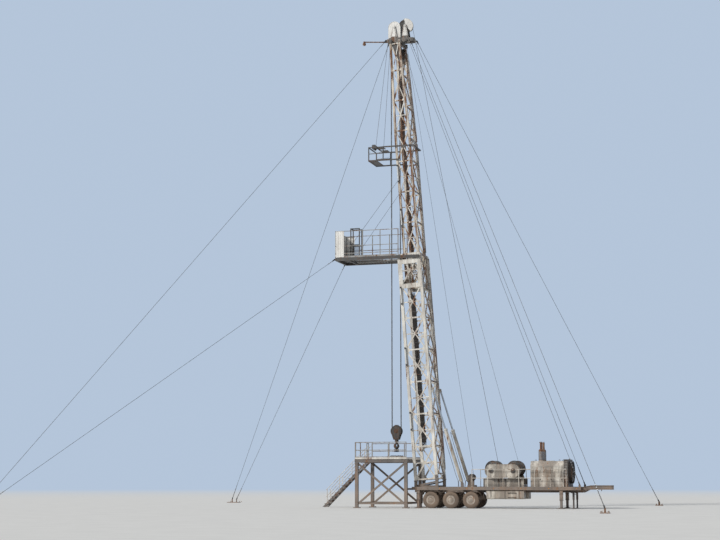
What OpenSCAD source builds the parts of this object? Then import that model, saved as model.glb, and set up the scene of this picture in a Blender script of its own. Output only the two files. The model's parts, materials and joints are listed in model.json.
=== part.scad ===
// Trailer-mounted drilling rig with a leaning telescoping lattice mast.
// Origin on the ground at the well centre, +X towards the trailer, +Z up, millimetres.

/* [Mast] */
// Lean of the mast over the well, degrees
mast_lean = 4.25; // [2:0.25:6]
// Distance from the well centre to the mast foot
foot_x = 2246; // [2100:10:2400]
// Height of the mast foot above the ground
foot_z = 1800; // [1750:10:1950]
// Length of the lower section
low_len = 14740; // [13500:10:16000]
// Depth of the lower section between leg centres
low_depth = 1390; // [1300:10:1500]
// Width of the lower section between leg centres
low_width = 2000; // [1900:10:2200]
// Side of the lower legs
low_leg = 180; // [150:5:200]
// Number of braced bays in the lower section
low_bays = 7; // [5:1:9]
// Length along the mast from its foot to the top of the upper section
mast_len = 29180; // [28600:10:29800]
// Depth of the upper section between leg centres
up_depth = 950; // [880:10:1000]
// Distance of the upper section's front legs ahead of the mast's centreline
up_front = 345; // [320:5:370]
// Width of the upper section between leg centres
up_width = 1600; // [1500:10:1640]
// Side of the upper legs
up_leg = 140; // [110:5:150]
// Number of braced bays in the upper section
up_bays = 8; // [6:1:10]
// Length of the tapered top of the upper section
taper_len = 6700; // [5000:100:8000]
// Inward lean of the front legs over the tapered top
front_taper = 145; // [60:5:170]
// Inward lean of the back legs over the tapered top
back_taper = 205; // [100:5:230]
// Depth of the braces of both sections
brace_w = 90; // [70:5:110]
// Thickness of the braces of both sections
brace_t = 60; // [40:5:80]
// Spacing of the ladder rungs
rung_pitch = 300; // [250:10:400]

/* [Crown] */
// Height of the cluster sheave shaft above the crown's cross beams
shaft_rise = 1020.6; // [970.6:10:1070.6]
// Pitch radius of the cluster sheaves
sheave_r = 305; // [280:5:310]
// Pitch radius of the fast line sheave
fast_r = 457; // [430:5:470]
// Diameter of the drilling line
line_d = 26; // [19:1:28]
// Spacing of the sheaves on their shafts
sheave_pitch = 90; // [80:5:100]
// Radius of the crown shafts
shaft_r = 60; // [45:5:70]
// Reach of the crown arm ahead of the well centre
arm_reach = 2200; // [1500:50:2600]

/* [Block] */
// Height of the block sheave shaft at rest
block_z = 4950; // [4930:10:5200]
// Radius of the block shaft
block_shaft_r = 50; // [40:5:60]
// Thickness of the block cheeks
cheek_t = 30; // [20:2:40]

/* [Tubing board] */
// Height of the underside of the tubing board
board_z = 16200; // [15600:50:16250]
// Reach of the board ahead of the well centre
board_reach = 3860; // [3400:20:4200]
// Height of the board's top rail above its underside
board_rail_h = 2000; // [1200:50:2200]
// Number of racking fingers on each side
finger_count = 11; // [8:1:14]
// Half width of the walkway down the middle of the board
walk_half = 300; // [250:10:330]

/* [Rod basket] */
// Height of the belt that carries the rod basket
belt_z = 23800; // [23300:50:24000]
// Drop of the basket floor below the belt
basket_drop = 900; // [600:50:1200]
// Reach of the basket ahead of the well centre
basket_reach = 1650; // [1500:20:1800]

/* [Guy lines] */
// Distance of the front anchors ahead of the well centre
anchor_front_x = 19200; // [17000:100:19400]
// Distance of the front anchors from the centreline
anchor_front_y = 19300; // [17000:100:19400]
// Distance of the rear anchors behind the well centre
anchor_rear_x = 15400; // [15000:100:19000]
// Distance of the rear anchors from the centreline
anchor_rear_y = 13700; // [13000:100:19000]
// Diameter of the guy lines
guy_d = 22; // [16:1:26]

/* [Trailer] */
// Rear end of the trailer frame
frame_x0 = 1350; // [1320:10:1400]
// Length of the trailer frame without its neck
frame_len = 10850; // [10700:50:11500]
// Height of the deck above the ground
deck_z = 1350; // [1330:10:1400]
// Width of the trailer
frame_w = 2600; // [2580:10:2700]
// Depth of the main beams
beam_h = 350; // [300:10:360]
// Outer radius of the tyres
tyre_r = 525; // [500:5:530]
// Width of each tyre
tyre_w = 270; // [240:5:275]
// Spacing of the axles
axle_pitch = 1300; // [1200:10:1350]
// Distance of the first axle behind the well centre
axle_x = 2600; // [2550:10:2700]

/* [Drawworks] */
// Distance of the main drum behind the well centre
drum_x = 6500; // [6400:50:6600]
// Distance of the sand drum behind the well centre
sand_x = 7900; // [7850:50:8000]
// Height of the drum shafts
drum_z = 2500; // [2450:10:2600]
// Radius of the rope laid on the drums
lay_r = 300; // [270:5:330]
// Radius of the drum flanges
flange_r = 480; // [400:10:520]

/* [Work floor] */
// Height of the work floor
floor_z = 3100; // [3050:10:3150]
// Front edge of the floor ahead of the well centre
floor_front = 2300; // [2100:20:2600]
// Rear edge of the floor behind the well centre
floor_rear = 1220; // [1160:10:1240]
// Half width of the floor
floor_half = 1900; // [1700:20:2100]
// Height of the handrails
rail_h = 1100; // [1000:10:1200]
// Radius of the rotary table's bore
rotary_r = 222.25; // [160:0.25:260]
// Number of treads in the stair
tread_count = 12; // [10:1:14]

/* [Hidden] */
seat = 0.3;
play = 0.5;
$fn = 48;
colour_mast = [0.80, 0.79, 0.75];
colour_dark = [0.13, 0.13, 0.13];
colour_rope = [0.22, 0.21, 0.20];
colour_grey = [0.45, 0.46, 0.46];
colour_frame = [0.20, 0.21, 0.23];
colour_rust = [0.42, 0.27, 0.17];

// Mast frame: depth along local x, width along y, length along local z
bay = (low_len - 100) / low_bays;
up_foot = (low_bays - 1) * bay;
up_bay = (mast_len - up_foot) / up_bays;
knee = mast_len - taper_len;
up_back = up_depth - up_front;
low_in = low_width / 2 - low_leg / 2;
low_out = low_width / 2 + low_leg / 2;
up_in = up_width / 2 - up_leg / 2;
up_out = up_width / 2 + up_leg / 2;
back_tilt = atan(back_taper / taper_len);
function mast_x(z) = foot_x - (z - foot_z) * tan(mast_lean);
function on_mast(d, y, s) = [
    foot_x + d * cos(mast_lean) - s * sin(mast_lean), y,
    foot_z + d * sin(mast_lean) + s * cos(mast_lean)];
function up_front_at(s) = -up_front + front_taper * max(0, s - knee) / taper_len;
function up_back_at(s) = up_back - back_taper * max(0, s - knee) / taper_len;
module mast_frame() {
    translate([foot_x, 0, foot_z]) rotate([0, -mast_lean, 0]) children();
}

// Crown, in level axes on top of the leaning legs
crown_front = on_mast(up_front_at(mast_len), 0, mast_len);
crown_back = on_mast(up_back_at(mast_len), 0, mast_len);
cross_top = crown_back[2] + 200;
crown_z = cross_top + shaft_rise;
cross_w = 200;
rail_y = 280;
rail_w = 120;
rail_top = cross_top + 220;
rail_mid = cross_top + 110;
crown_x0 = -500;
crown_x1 = 1350;
bracket_in = rail_y - rail_w / 4;
bracket_t = rail_w / 2;
rim_r = sheave_r + 40;
fast_x = sheave_r + fast_r;
fast_z = crown_z + 50;
fast_y = -1.5 * sheave_pitch;
hood_r = rim_r + 80;
plate_t = 12;

// Points where lines leave the crown and the ground
pin_r = 18;
lug_t = 30;
front_pin = [crown_x0 - 70, rail_y + 100, rail_mid];
rear_pin = [crown_x1 + 70, rail_y + 100, rail_mid];
load_pin = [crown_x1 - 350, rail_y + 140, rail_mid];
winch_pin = [crown_back[0] + cross_w / 2 + 100, 450, cross_top - 90];
anchor_h = 260;
front_anchor = [-anchor_front_x, anchor_front_y, anchor_h];
board_anchor = [300 - anchor_front_x, anchor_front_y + 200, anchor_h];
rear_anchor = [anchor_rear_x, anchor_rear_y, anchor_h];
load_anchor = [frame_x0 + frame_len - 100, frame_w / 2 - 200, deck_z + 130];
board_pin = [-board_reach - 60, low_out + 60, board_z + 100];

// Tubing board
board_beam = 120;
board_top = board_z + 200;
board_in = low_out;
cage_x = -3050;
finger_x1 = -900;
finger_pitch = (finger_x1 - cage_x) / finger_count;
finger_w = 60;

// Trailer and what stands on it
frame_x1 = frame_x0 + frame_len;
frame_y = frame_w / 2;
edge_w = 60;
main_y = 490;
main_w = 120;
cross_h = 200;
ram_base = [4600, low_width / 2, deck_z + 210];
cross_x = [frame_x0 + 100, axle_x + 250, ram_base[0] - 100, drum_x - 400, sand_x - 200,
    sand_x + 1300, frame_x1 - 1550, frame_x1 - 250];
deck_t = 10;
deck_x0 = 5000;
ram_s = 5800;
ram_d = low_depth / 2 + low_leg / 2 + 110;
ram_top = on_mast(ram_d, low_width / 2, ram_s);
ram_pin = 35;
ram_eye = 40;
drum_half = 560;
stand_y = drum_half + 80;
drum_shaft_r = 80;
tugger = [4900, 520, 1950];
tugger_r = 130;

// Work floor
floor_t = 12;
rotary_h = 250;
rotary_w = 1000;
post = 200;

// Flat bar between two points of a drawing
module strip(p, q, w) {
    v = q - p;
    translate(p) rotate(atan2(v[1], v[0])) translate([0, -w / 2]) square([norm(v), w]);
}

// Drawing in the x-z plane, thickened to both sides of a width y
module side_plate(y, t) {
    translate([0, y + t / 2, 0]) rotate([90, 0, 0]) linear_extrude(t) children();
}

// Drawing in the y-z plane, thickened from x = 0 backwards
module back_plate(t) {
    rotate([90, 0, 90]) linear_extrude(t) children();
}

module both_sides() {
    children();
    mirror([0, 1, 0]) children();
}

// Puts +Z on the straight line from p to q, with the y axis kept level
module along(p, q) {
    v = q - p;
    translate(p) rotate([0, acos(v[2] / norm(v)), atan2(v[1], v[0])]) children();
}

module rod(p, q, r) {
    along(p, q) cylinder(r = r, h = norm(q - p), $fn = 24);
}

// Zigzag of diagonals with a belt at each bay, from the first to the last bay
module lacing(left, right, s0, pitch, first, last) {
    for (k = [first : last]) {
        s = s0 + k * pitch;
        strip([left, s], [right, s], brace_w);
        if (k < last && k % 2 == 0) strip([left, s], [right, s + pitch], brace_w);
        if (k < last && k % 2 == 1) strip([right, s], [left, s + pitch], brace_w);
    }
}

module lower_side() {
    y = low_width / 2;
    h = low_depth / 2;
    difference() {
        union() {
            for (d = [-h, h]) translate([d - low_leg / 2, y - low_leg / 2, 0])
                cube([low_leg, low_leg, low_len]);
            side_plate(y, brace_t) {
                lacing(-h, h, 50, bay, 0, low_bays);
                for (k = [low_bays - 1, low_bays]) strip([-h, 50 + k * bay], [h, 50 + k * bay], 200);
            }
            side_plate(y, ram_eye) difference() {
                union() {
                    translate([ram_d, ram_s]) circle(r = 75);
                    translate([h, ram_s - 80]) square([ram_d - h, 155]);
                }
                translate([ram_d, ram_s]) circle(r = ram_pin + seat);
            }
        }
        translate([h, 0, 130]) rotate([90, 0, 0])
            cylinder(r = 45 + seat, h = 4 * low_width, center = true);
    }
}

// Inner drum that the dead line ends on
dead_s = 2100;
dead_r = 150;
dead_end = on_mast(-low_depth / 2, low_in, dead_s)
    - [dead_r + line_d / 2 + play, line_d / 2 + 40, 0];

module lower_mast_near_side() {
    color(colour_mast) mirror([0, 1, 0]) mast_frame() lower_side();
}

module lower_mast_far_side() {
    color(colour_mast) mast_frame() {
        lower_side();
        translate([-low_depth / 2, low_in, dead_s]) rotate([90, 0, 0])
            cylinder(r = dead_r, h = 110);
    }
}

module lower_mast_back() {
    d = low_depth / 2 + 20;
    back_foot = 300;
    color(colour_mast) mast_frame() translate([d, 0, 0]) back_plate(brace_t)
        intersection() {
            translate([-low_in, back_foot]) square([2 * low_in, low_len - back_foot]);
            union() {
                strip([-low_in, back_foot + brace_w / 2], [low_in, back_foot + brace_w / 2], brace_w);
                lacing(-low_in - 40, low_in + 40, 50, bay, 0, low_bays);
                translate([0, bay]) mirror([1, 0])
                    lacing(-low_in - 40, low_in + 40, 50 - bay, bay, 0, low_bays);
                for (k = [low_bays - 1, low_bays])
                    strip([-low_in, 50 + k * bay], [low_in, 50 + k * bay], 200);
            }
        }
}

// Pawls under the upper section's feet, and the shoes that guide it
module mast_lock_pawls() {
    h = low_depth / 2;
    s0 = up_foot - 30;
    shoe_h = 240;
    color(colour_dark) mast_frame() both_sides() {
        translate([-up_front - up_leg / 2, up_in, s0])
            cube([up_leg, low_width / 2 - brace_t / 2 - up_in, 140]);
        translate([up_back - up_leg / 2, up_in, s0]) cube([up_leg, low_in - up_in, 140]);
        for (s = [up_foot + 260, low_len - shoe_h - 150]) {
            translate([-h + low_leg / 2, up_in, s])
                cube([h - low_leg / 2 - up_front - up_leg / 2,
                    low_width / 2 - brace_t / 2 - up_in, shoe_h]);
            translate([h - low_leg / 2, up_out, s])
                cube([up_back + up_leg / 2 - h + low_leg / 2, low_in - up_out, shoe_h]);
        }
    }
}

module upper_side() {
    y = up_width / 2;
    s0 = up_foot + 110;
    f1 = up_front_at(mast_len);
    b1 = up_back_at(mast_len);
    difference() {
        union() {
            side_plate(y, up_leg) {
                strip([-up_front, s0], [-up_front, knee], up_leg);
                strip([-up_front, knee - 10], [f1, mast_len + 20], up_leg);
                strip([up_back, s0], [up_back, knee], up_leg);
                strip([up_back, knee - 10], [b1, mast_len + 20], up_leg);
            }
            side_plate(y, brace_t) for (k = [0 : up_bays]) {
                s = min(s0 + 50 + k * up_bay, mast_len - 50);
                t = min(s + up_bay, mast_len - 50);
                strip([up_front_at(s), s], [up_back_at(s), s], brace_w);
                if (k < up_bays && k % 2 == 0) strip([up_front_at(s), s], [up_back_at(t), t], brace_w);
                if (k < up_bays && k % 2 == 1) strip([up_back_at(s), s], [up_front_at(t), t], brace_w);
            }
        }
        translate([-2 * up_depth, 0, mast_len]) cube([4 * up_depth, up_width, up_depth / 2]);
    }
}

module upper_mast_near_side() {
    color(colour_mast) mirror([0, 1, 0]) mast_frame() upper_side();
}

module upper_mast_far_side() {
    color(colour_mast) mast_frame() upper_side();
}

module upper_mast_back() {
    s0 = up_foot + 160;
    straight = floor((knee - s0) / up_bay);
    top = taper_len / cos(back_tilt) - 60;
    color(colour_mast) mast_frame() {
        translate([up_back, 0, 0]) back_plate(brace_t) intersection() {
            translate([-up_in, s0 - 50]) square([2 * up_in, knee - s0 + 50]);
            lacing(-up_in - 40, up_in + 40, s0, up_bay, 0, straight + 1);
        }
        translate([up_back, 0, knee]) rotate([0, -back_tilt, 0]) back_plate(brace_t)
            intersection() {
                translate([-up_in, 0]) square([2 * up_in, top]);
                lacing(-up_in - 40, up_in + 40, brace_w / 2, (top - brace_w) / 3, 0, 3);
            }
        translate([up_back - 5, -up_in, knee - 60]) cube([brace_t + 10, 2 * up_in, 120]);
    }
}

// Ladder standing in the y-z plane, its back on stand-offs at x = 0
module ladder(length, off, foot) {
    half = 180;
    for (y = [-half, half]) {
        translate([off, y - 25, 0]) cube([40, 50, length]);
        for (s = [foot : (length - 2 * foot) / 5 : length - foot]) translate([0, y - 25, s - 30])
            cube([off, 50, 60]);
    }
    for (s = [rung_pitch / 2 : rung_pitch : length - 60]) translate([off + 8, -half, s])
        cube([24, 2 * half, 24]);
}

ladder_y = 560;
module mast_ladders() {
    low_off = 90;
    up_off = 60;
    color(colour_mast) mast_frame() {
        translate([low_depth / 2 + 20 + brace_t + seat, ladder_y, 700])
            ladder(low_len - 900, low_off, 60);
        translate([up_back + brace_t + seat, ladder_y - 100, low_len + 200])
            ladder(knee - low_len - 300, up_off, 60);
        translate([up_back + seat / 2, ladder_y - 100, knee]) rotate([0, -back_tilt, 0])
            translate([brace_t + seat, 0, 60]) ladder(taper_len - 500, up_off, 60);
    }
}

// Lug with a round eye at p, in the upright plane of the line to q
module lug(p, q, back, down) {
    v = q - p;
    translate(p) rotate([0, 0, atan2(v[1], v[0])]) side_plate(0, lug_t) difference() {
        union() {
            circle(r = 55);
            if (back > 0) translate([-back, -55]) square([back, 110]);
            if (down > 0) translate([-70, -down]) square([140, down]);
        }
        circle(r = pin_r + seat);
    }
}

// Fork that straddles a lug, its line running up +Z
module fork_end() {
    gap = lug_t / 2 + seat + 0.1;
    both_sides() translate([0, gap + 12, 0]) rotate([90, 0, 0]) linear_extrude(12) {
        circle(r = 35);
        translate([-35, 0]) square([70, 150]);
    }
    translate([-35, -gap - 12, 130]) cube([70, 2 * gap + 24, 60]);
    rotate([90, 0, 0]) cylinder(r = pin_r, h = 2 * gap + 40, center = true, $fn = 24);
}

// Line with a fork on each end and a turnbuckle next to q
module guy(p, q, d) {
    buckle = 900;
    along(p, q) {
        fork_end();
        translate([0, 0, 180]) cylinder(r = d / 2, h = norm(q - p) - 360, $fn = 12);
    }
    along(q, p) {
        fork_end();
        translate([0, 0, 180]) cylinder(r = d, h = buckle, $fn = 12);
    }
}

module shaft_bracket(x, z) {
    polygon([[x - 260, rail_top - 20], [x + 260, rail_top - 20], [x + 104, z], [x - 104, z]]);
    translate([x, z]) circle(r = 110);
}

module crown_frame() {
    color(colour_mast) {
        mast_frame() both_sides() for (d = [up_front_at(mast_len), up_back_at(mast_len)])
            translate([d - 110, up_width / 2 - 110, mast_len]) cube([220, 220, 40]);
        for (p = [crown_front, crown_back])
            translate([p[0] - cross_w / 2, -up_out - 50, p[2] + 20])
                cube([cross_w, 2 * up_out + 100, cross_top - p[2] - 20]);
        both_sides() {
            translate([crown_x0, rail_y - rail_w / 2, cross_top - 10])
                cube([crown_x1 - crown_x0, rail_w, rail_top - cross_top + 10]);
            side_plate(bracket_in + bracket_t / 2, bracket_t) {
                shaft_bracket(0, crown_z);
                shaft_bracket(fast_x, fast_z);
            }
            lug(front_pin, front_anchor, 170, 0);
            lug(rear_pin, rear_anchor, 170, 0);
            lug(load_pin, load_anchor, 150, 0);
            translate([load_pin[0] - 160, rail_y, load_pin[2] - 65])
                cube([100, load_pin[1] - rail_y + lug_t / 2 + 10, 130]);
        }
        lug(winch_pin, tugger, 150, 0);
        mirror([0, 1, 0]) lug(winch_pin, [sand_x, 300, drum_z], 150, 0);
        for (x = [crown_x0, crown_x1 - 80]) translate([x, -rail_y, cross_top + 40])
            cube([80, 2 * rail_y, 140]);
        for (c = [[0, crown_z], [fast_x, fast_z]]) translate([c[0], 0, c[1]])
            rotate([90, 0, 0]) cylinder(r = shaft_r, h = 2 * rail_y + rail_w, center = true);
        translate([0, 0, crown_z]) {
            collar(-bracket_in, -sheave_pitch - play);
            collar(2 * sheave_pitch + play, bracket_in);
        }
        translate([fast_x, 0, fast_z]) {
            collar(-bracket_in, fast_y - 30 - play);
            collar(fast_y + 30 + play, bracket_in);
        }
    }
}

module collar(y0, y1) {
    translate([0, y1, 0]) rotate([90, 0, 0]) cylinder(r = shaft_r + 30, h = y1 - y0);
}

module front_sheave_guard() {
    skirt = crown_z - rail_top - 80;
    side_y = bracket_in - plate_t / 2 - seat;
    color(colour_mast) translate([0, 0, crown_z]) {
        both_sides() side_plate(side_y, plate_t) difference() {
            union() {
                circle(r = hood_r);
                translate([-hood_r, -skirt]) square([2 * hood_r, skirt]);
            }
            circle(r = shaft_r + 35);
            translate([-shaft_r - 35, -skirt - 1]) square([2 * shaft_r + 70, skirt]);
        }
        side_plate(0, 2 * side_y) difference() {
            union() {
                circle(r = hood_r);
                translate([-hood_r, -skirt]) square([hood_r, skirt]);
            }
            circle(r = hood_r - plate_t);
            translate([-hood_r + plate_t, -skirt - 1]) square([3 * hood_r, skirt + 1]);
            translate([fast_x - fast_r - 70, -skirt]) square([hood_r, 3 * hood_r]);
        }
    }
}

module rear_sheave_guard() {
    r = fast_r + 75;
    half = 75;
    color(colour_mast) translate([fast_x, fast_y, fast_z]) {
        both_sides() side_plate(half, plate_t) intersection() {
            difference() {
                circle(r = r);
                circle(r = shaft_r + 35);
            }
            polygon([[-150, 2 * r], [0, 0], [1.2 * r, -1.2 * r], [2 * r, 2 * r]]);
        }
        translate([0, -half, 0]) rotate([90, 0, 0]) difference() {
            cylinder(r = 110, h = bracket_in + fast_y - half);
            translate([0, 0, -10]) cylinder(r = shaft_r + 35, h = 200);
        }
        side_plate(0, 2 * half) intersection() {
            difference() {
                circle(r = r);
                circle(r = r - plate_t);
            }
            polygon([[-150, 2 * r], [0, 0], [2 * r, -100], [2 * r, 2 * r]]);
        }
    }
}

module crown_arm() {
    tip = [-arm_reach, 0, rail_mid + 150];
    root = [crown_x0 - seat - 20, 0, rail_mid];
    color(colour_rust) {
        translate([crown_x0 - seat - 20, -150, rail_mid - 70]) cube([20, 300, 140]);
        rod(root, tip, 40);
        rod(root + [0, 130, 0], (root + tip) / 2, 25);
        rod(root + [0, -130, 0], (root + tip) / 2, 25);
        translate(tip - [0, 0, 150]) {
            for (y = [-35, 35]) side_plate(y, 12) {
                circle(r = 110);
                translate([-60, 0]) square([120, 190]);
            }
            rotate([90, 0, 0]) cylinder(r = 95, h = 50, center = true);
            rotate([90, 0, 0]) cylinder(r = 25, h = 110, center = true);
        }
    }
}

// Half turn of rope round a sheave that lies in the x-z plane
module rope_arc(r, from, sweep) {
    rotate([90, 0, 0]) rotate([0, 0, from]) rotate_extrude(angle = sweep)
        translate([r, 0]) circle(d = line_d, $fn = 16);
}

lay_off = lay_r + line_d / 2 + play;
fast_v = [drum_x - fast_x, drum_z - fast_z];
fast_a = atan2(fast_v[1], fast_v[0]) + acos((fast_r - lay_off) / norm(fast_v));
fast_out = [fast_x + fast_r * cos(fast_a), fast_y, fast_z + fast_r * sin(fast_a)];
fast_end = [drum_x + lay_off * cos(fast_a), -60, drum_z + lay_off * sin(fast_a)];

module crown_rope_wraps() {
    color(colour_rope) {
        for (k = [0 : 2]) translate([0, (k - 0.5) * sheave_pitch, crown_z])
            rope_arc(sheave_r, 0, 180);
        translate([fast_x, fast_y, fast_z]) rope_arc(fast_r, fast_a, 180 - fast_a);
    }
}

// Sheave with a grooved rim and a hub, whose bore starts as a ring of radius bore
module sheave(r, bore, hub, half) {
    rotate([90, 0, 0]) rotate_extrude() polygon([
        [bore, -half], [hub, -half], [hub, -22], [r - 60, -22],
        [r - 45, -30], [r + 40, -30], [r + 40, -24], [r - line_d / 2 - 1, -16],
        [r - line_d / 2 - 1, 16], [r + 40, 24], [r + 40, 30], [r - 45, 30],
        [r - 60, 22], [hub, 22], [hub, half], [bore, half]]);
}

// Three sheaves side by side on one hub
module sheave_cluster(bore, hub) {
    hub_half = 1.5 * sheave_pitch;
    for (k = [-1, 1]) translate([0, k * sheave_pitch, 0]) sheave(sheave_r, bore, hub, 30);
    sheave(sheave_r, bore, hub, hub_half);
}

module crown_sheaves() {
    color(colour_dark) translate([0, 0, crown_z]) difference() {
        translate([0, sheave_pitch / 2, 0]) sheave_cluster(shaft_r, shaft_r + 40);
        rotate([90, 0, 0]) cylinder(r = shaft_r + 0.05, h = 2 * fast_r, center = true);
    }
}

module fast_line_sheave() {
    color(colour_dark) translate([fast_x, fast_y, fast_z]) difference() {
        sheave(fast_r, shaft_r, shaft_r + 40, 30);
        rotate([90, 0, 0]) cylinder(r = shaft_r + 0.05, h = 2 * fast_r, center = true);
    }
}

basket_y = up_out;
basket_beam = 80;
belt_front = 650;
belt_back = 1500;
walk_x = -1100;
module rod_basket() {
    floor_z0 = belt_z - basket_drop;
    leg_x = mast_x(floor_z0) - up_front;
    stay_top = cross_top - 10 - seat - 1.2;
    color(colour_frame) {
        both_sides() {
            translate([-belt_front, basket_y, belt_z - 40])
                cube([belt_front + belt_back, basket_beam, basket_beam]);
            translate([-basket_reach, basket_y, floor_z0 - 40])
                cube([basket_reach + leg_x + 150, basket_beam, basket_beam]);
            for (x = [-basket_reach, -belt_front]) translate([x, basket_y + 10, floor_z0])
                cube([60, 60, basket_drop]);
            translate([-basket_reach, basket_y + 10, belt_z - 30])
                cube([basket_reach - belt_front + 10, 60, 60]);
            translate([-basket_reach, basket_y + 20, floor_z0 + basket_drop / 2])
                cube([basket_reach - belt_front + 10, 40, 40]);
            rod([-1130, basket_y + 40, belt_z], [crown_x0 + 60, rail_y, stay_top], 10);
        }
        for (z = [floor_z0 - 35, belt_z - 35], x = [-basket_reach + 5, walk_x - 40])
            translate([x, -basket_y - 50, z]) cube([60, 2 * basket_y + 100, 60]);
        translate([belt_back - 80, -basket_y - 50, belt_z - 35]) cube([80, 2 * basket_y + 100, 70]);
        translate([-basket_reach + 10, -basket_y - 10, floor_z0 - 10])
            cube([basket_reach + walk_x, 2 * basket_y + 20, 30]);
    }
}

module rod_fingers() {
    color(colour_frame) both_sides() for (y = [250, 450, 650])
        translate([walk_x + 20 + seat, y - 20, belt_z - 20]) cube([-walk_x - belt_front + 10, 40, 40]);
}

module basket_floodlight() {
    x0 = -basket_reach + 30;
    color(colour_dark) translate([x0, -250, belt_z + 25 + seat]) cube([300, 500, 330]);
}

board_stay_z = 21500;
module board_frame() {
    stay_x = mast_x(board_stay_z) - up_front;
    beam_x1 = mast_x(board_z) + low_depth / 2;
    color(colour_frame) {
        both_sides() {
            translate([-board_reach, board_in, board_z])
                cube([board_reach + beam_x1, board_beam, 200]);
            lug(board_pin, board_anchor, 170, 0);
            rod([-board_reach + 400, board_in + 12, board_z + 150],
                [stay_x, up_out + 20, board_stay_z], 10);
            translate([stay_x - 60, up_out, board_stay_z - 80]) cube([120, 40, 160]);
        }
        for (x = [-board_reach, cage_x]) translate([x, -board_in - 20, board_z])
            cube([board_beam, 2 * board_in + 40, 200]);
    }
}

module racking_fingers() {
    color(colour_grey) both_sides() for (k = [1 : finger_count])
        translate([cage_x + k * finger_pitch + 20, walk_half + 40, board_z + 60])
            cube([finger_w, board_in - walk_half - 40, 80]);
}

module board_walkway() {
    color(colour_grey) {
        translate([-board_reach + board_beam, -board_in, board_top - 40])
            cube([cage_x + board_reach - board_beam, 2 * board_in, 40]);
        translate([cage_x - 10, -walk_half, board_top + seat]) cube([finger_x1 - cage_x + 10, 2 * walk_half, 40]);
        translate([-board_reach, -walk_half, board_top + seat])
            cube([cage_x + board_reach, 2 * walk_half, 40]);
    }
}

module board_rails() {
    x1 = mast_x(board_z) - low_depth / 2;
    y = board_in + 40;
    color(colour_mast) both_sides() {
        for (z = [500, 1000, board_rail_h]) translate([-board_reach, y, board_z + z - 40])
            cube([board_reach + x1, 40, 40]);
        for (x = [-board_reach, -2000, -800, x1 - 50]) translate([x, y - 5, board_top])
            cube([50, 50, board_rail_h - 200]);
    }
}

module board_end_panel() {
    color(colour_mast) {
        translate([-board_reach - 8, -board_in - board_beam, board_top + 20])
            cube([8, 2 * board_in + 2 * board_beam, board_rail_h - 220]);
        both_sides() translate([-board_reach, board_in + 85, board_top + 20])
            cube([600, 8, board_rail_h - 220]);
    }
}

module derrick_cage() {
    x0 = -3100;
    x1 = -2500;
    w = 60;
    z0 = board_top + 40 + 2 * seat;
    color(colour_dark) {
        both_sides() {
            for (x = [x0, x1]) translate([x, walk_half - w, z0]) cube([w, w, board_rail_h + 60]);
            for (z = [900, board_rail_h]) translate([x0, walk_half - w, z0 + z])
                cube([x1 - x0 + w, w, w]);
        }
        for (z = [900, board_rail_h]) translate([x0, -walk_half + 20, z0 + z])
            cube([w, 2 * walk_half - 40, w]);
    }
}

module guy_lines() {
    color(colour_rope) both_sides() {
        guy(front_pin, front_anchor, guy_d);
        guy(rear_pin, rear_anchor, guy_d);
        guy(board_pin, board_anchor, guy_d);
    }
}

module load_guy_lines() {
    color(colour_rope) both_sides() guy(load_pin, load_anchor, guy_d);
}

module guy_anchors() {
    color(colour_rust) both_sides() {
        lug(front_anchor, front_pin, 0, anchor_h - 20);
        lug(board_anchor, board_pin, 0, anchor_h - 20);
        translate([board_anchor[0] - 650, front_anchor[1] - 250, 0]) cube([900, 700, 40]);
        lug(rear_anchor, rear_pin, 0, anchor_h - 20);
        translate([rear_anchor[0] - 250, rear_anchor[1] - 250, 0]) cube([500, 500, 40]);
    }
}

module fast_line() {
    color(colour_rope) rod(fast_out + [0, 0, -0.4], fast_end, line_d / 2);
}

module dead_line() {
    color(colour_rope)
        rod([sheave_r, 1.5 * sheave_pitch, crown_z - 0.5], dead_end, line_d / 2);
}

// End of a line from p on the far side of a drum of rope radius r at x, z
function drum_end(p, x, z, r, y) =
    let (v = [x - p[0], z - p[2]], a = atan2(v[1], v[0]) + acos(-r / norm(v)))
    [x + r * cos(a), y, z + r * sin(a)];

module winch_line(p, q, r) {
    along(p, q) {
        fork_end();
        translate([0, 0, 180]) cylinder(r = r, h = norm(q - p) - 180, $fn = 16);
    }
}

module winch_lines() {
    r = 8;
    p = winch_pin;
    m = [p[0], -p[1], p[2]];
    color(colour_rope) {
        winch_line(p, drum_end(p, tugger[0], tugger[2], tugger_r + r + play, tugger[1]), r);
        winch_line(m, drum_end(m, sand_x, drum_z, lay_r + r + play, -300), r);
    }
}

module mast_stand() {
    h = low_depth / 2;
    pad = 60;
    w = 220;
    color(colour_frame) both_sides() {
        mast_frame() for (d = [-h, h])
            translate([d - w / 2, low_width / 2 - w / 2, -pad]) cube([w, w, pad]);
        for (d = [-h, h]) {
            p = on_mast(d, low_width / 2, -pad);
            translate([p[0] - 90, p[1] - 90, deck_z]) cube([180, 180, p[2] - deck_z + 25]);
        }
        mast_frame() for (y = [low_in - 40 - seat, low_out + seat])
            translate([h - 90, y, -pad]) cube([180, 40, 330]);
        mast_frame() translate([h, low_width / 2, 130]) rotate([90, 0, 0])
            cylinder(r = 45, h = low_leg + 140, center = true);
        p0 = on_mast(-h, low_width / 2, -pad);
        p1 = on_mast(h, low_width / 2, -pad);
        side_plate(low_width / 2, 40) strip([p0[0], deck_z + 60], [p1[0], deck_z + 350], 90);
        side_plate(low_width / 2, 40) strip([p0[0], deck_z + 45], [p1[0], deck_z + 45], 90);
    }
}

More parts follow.
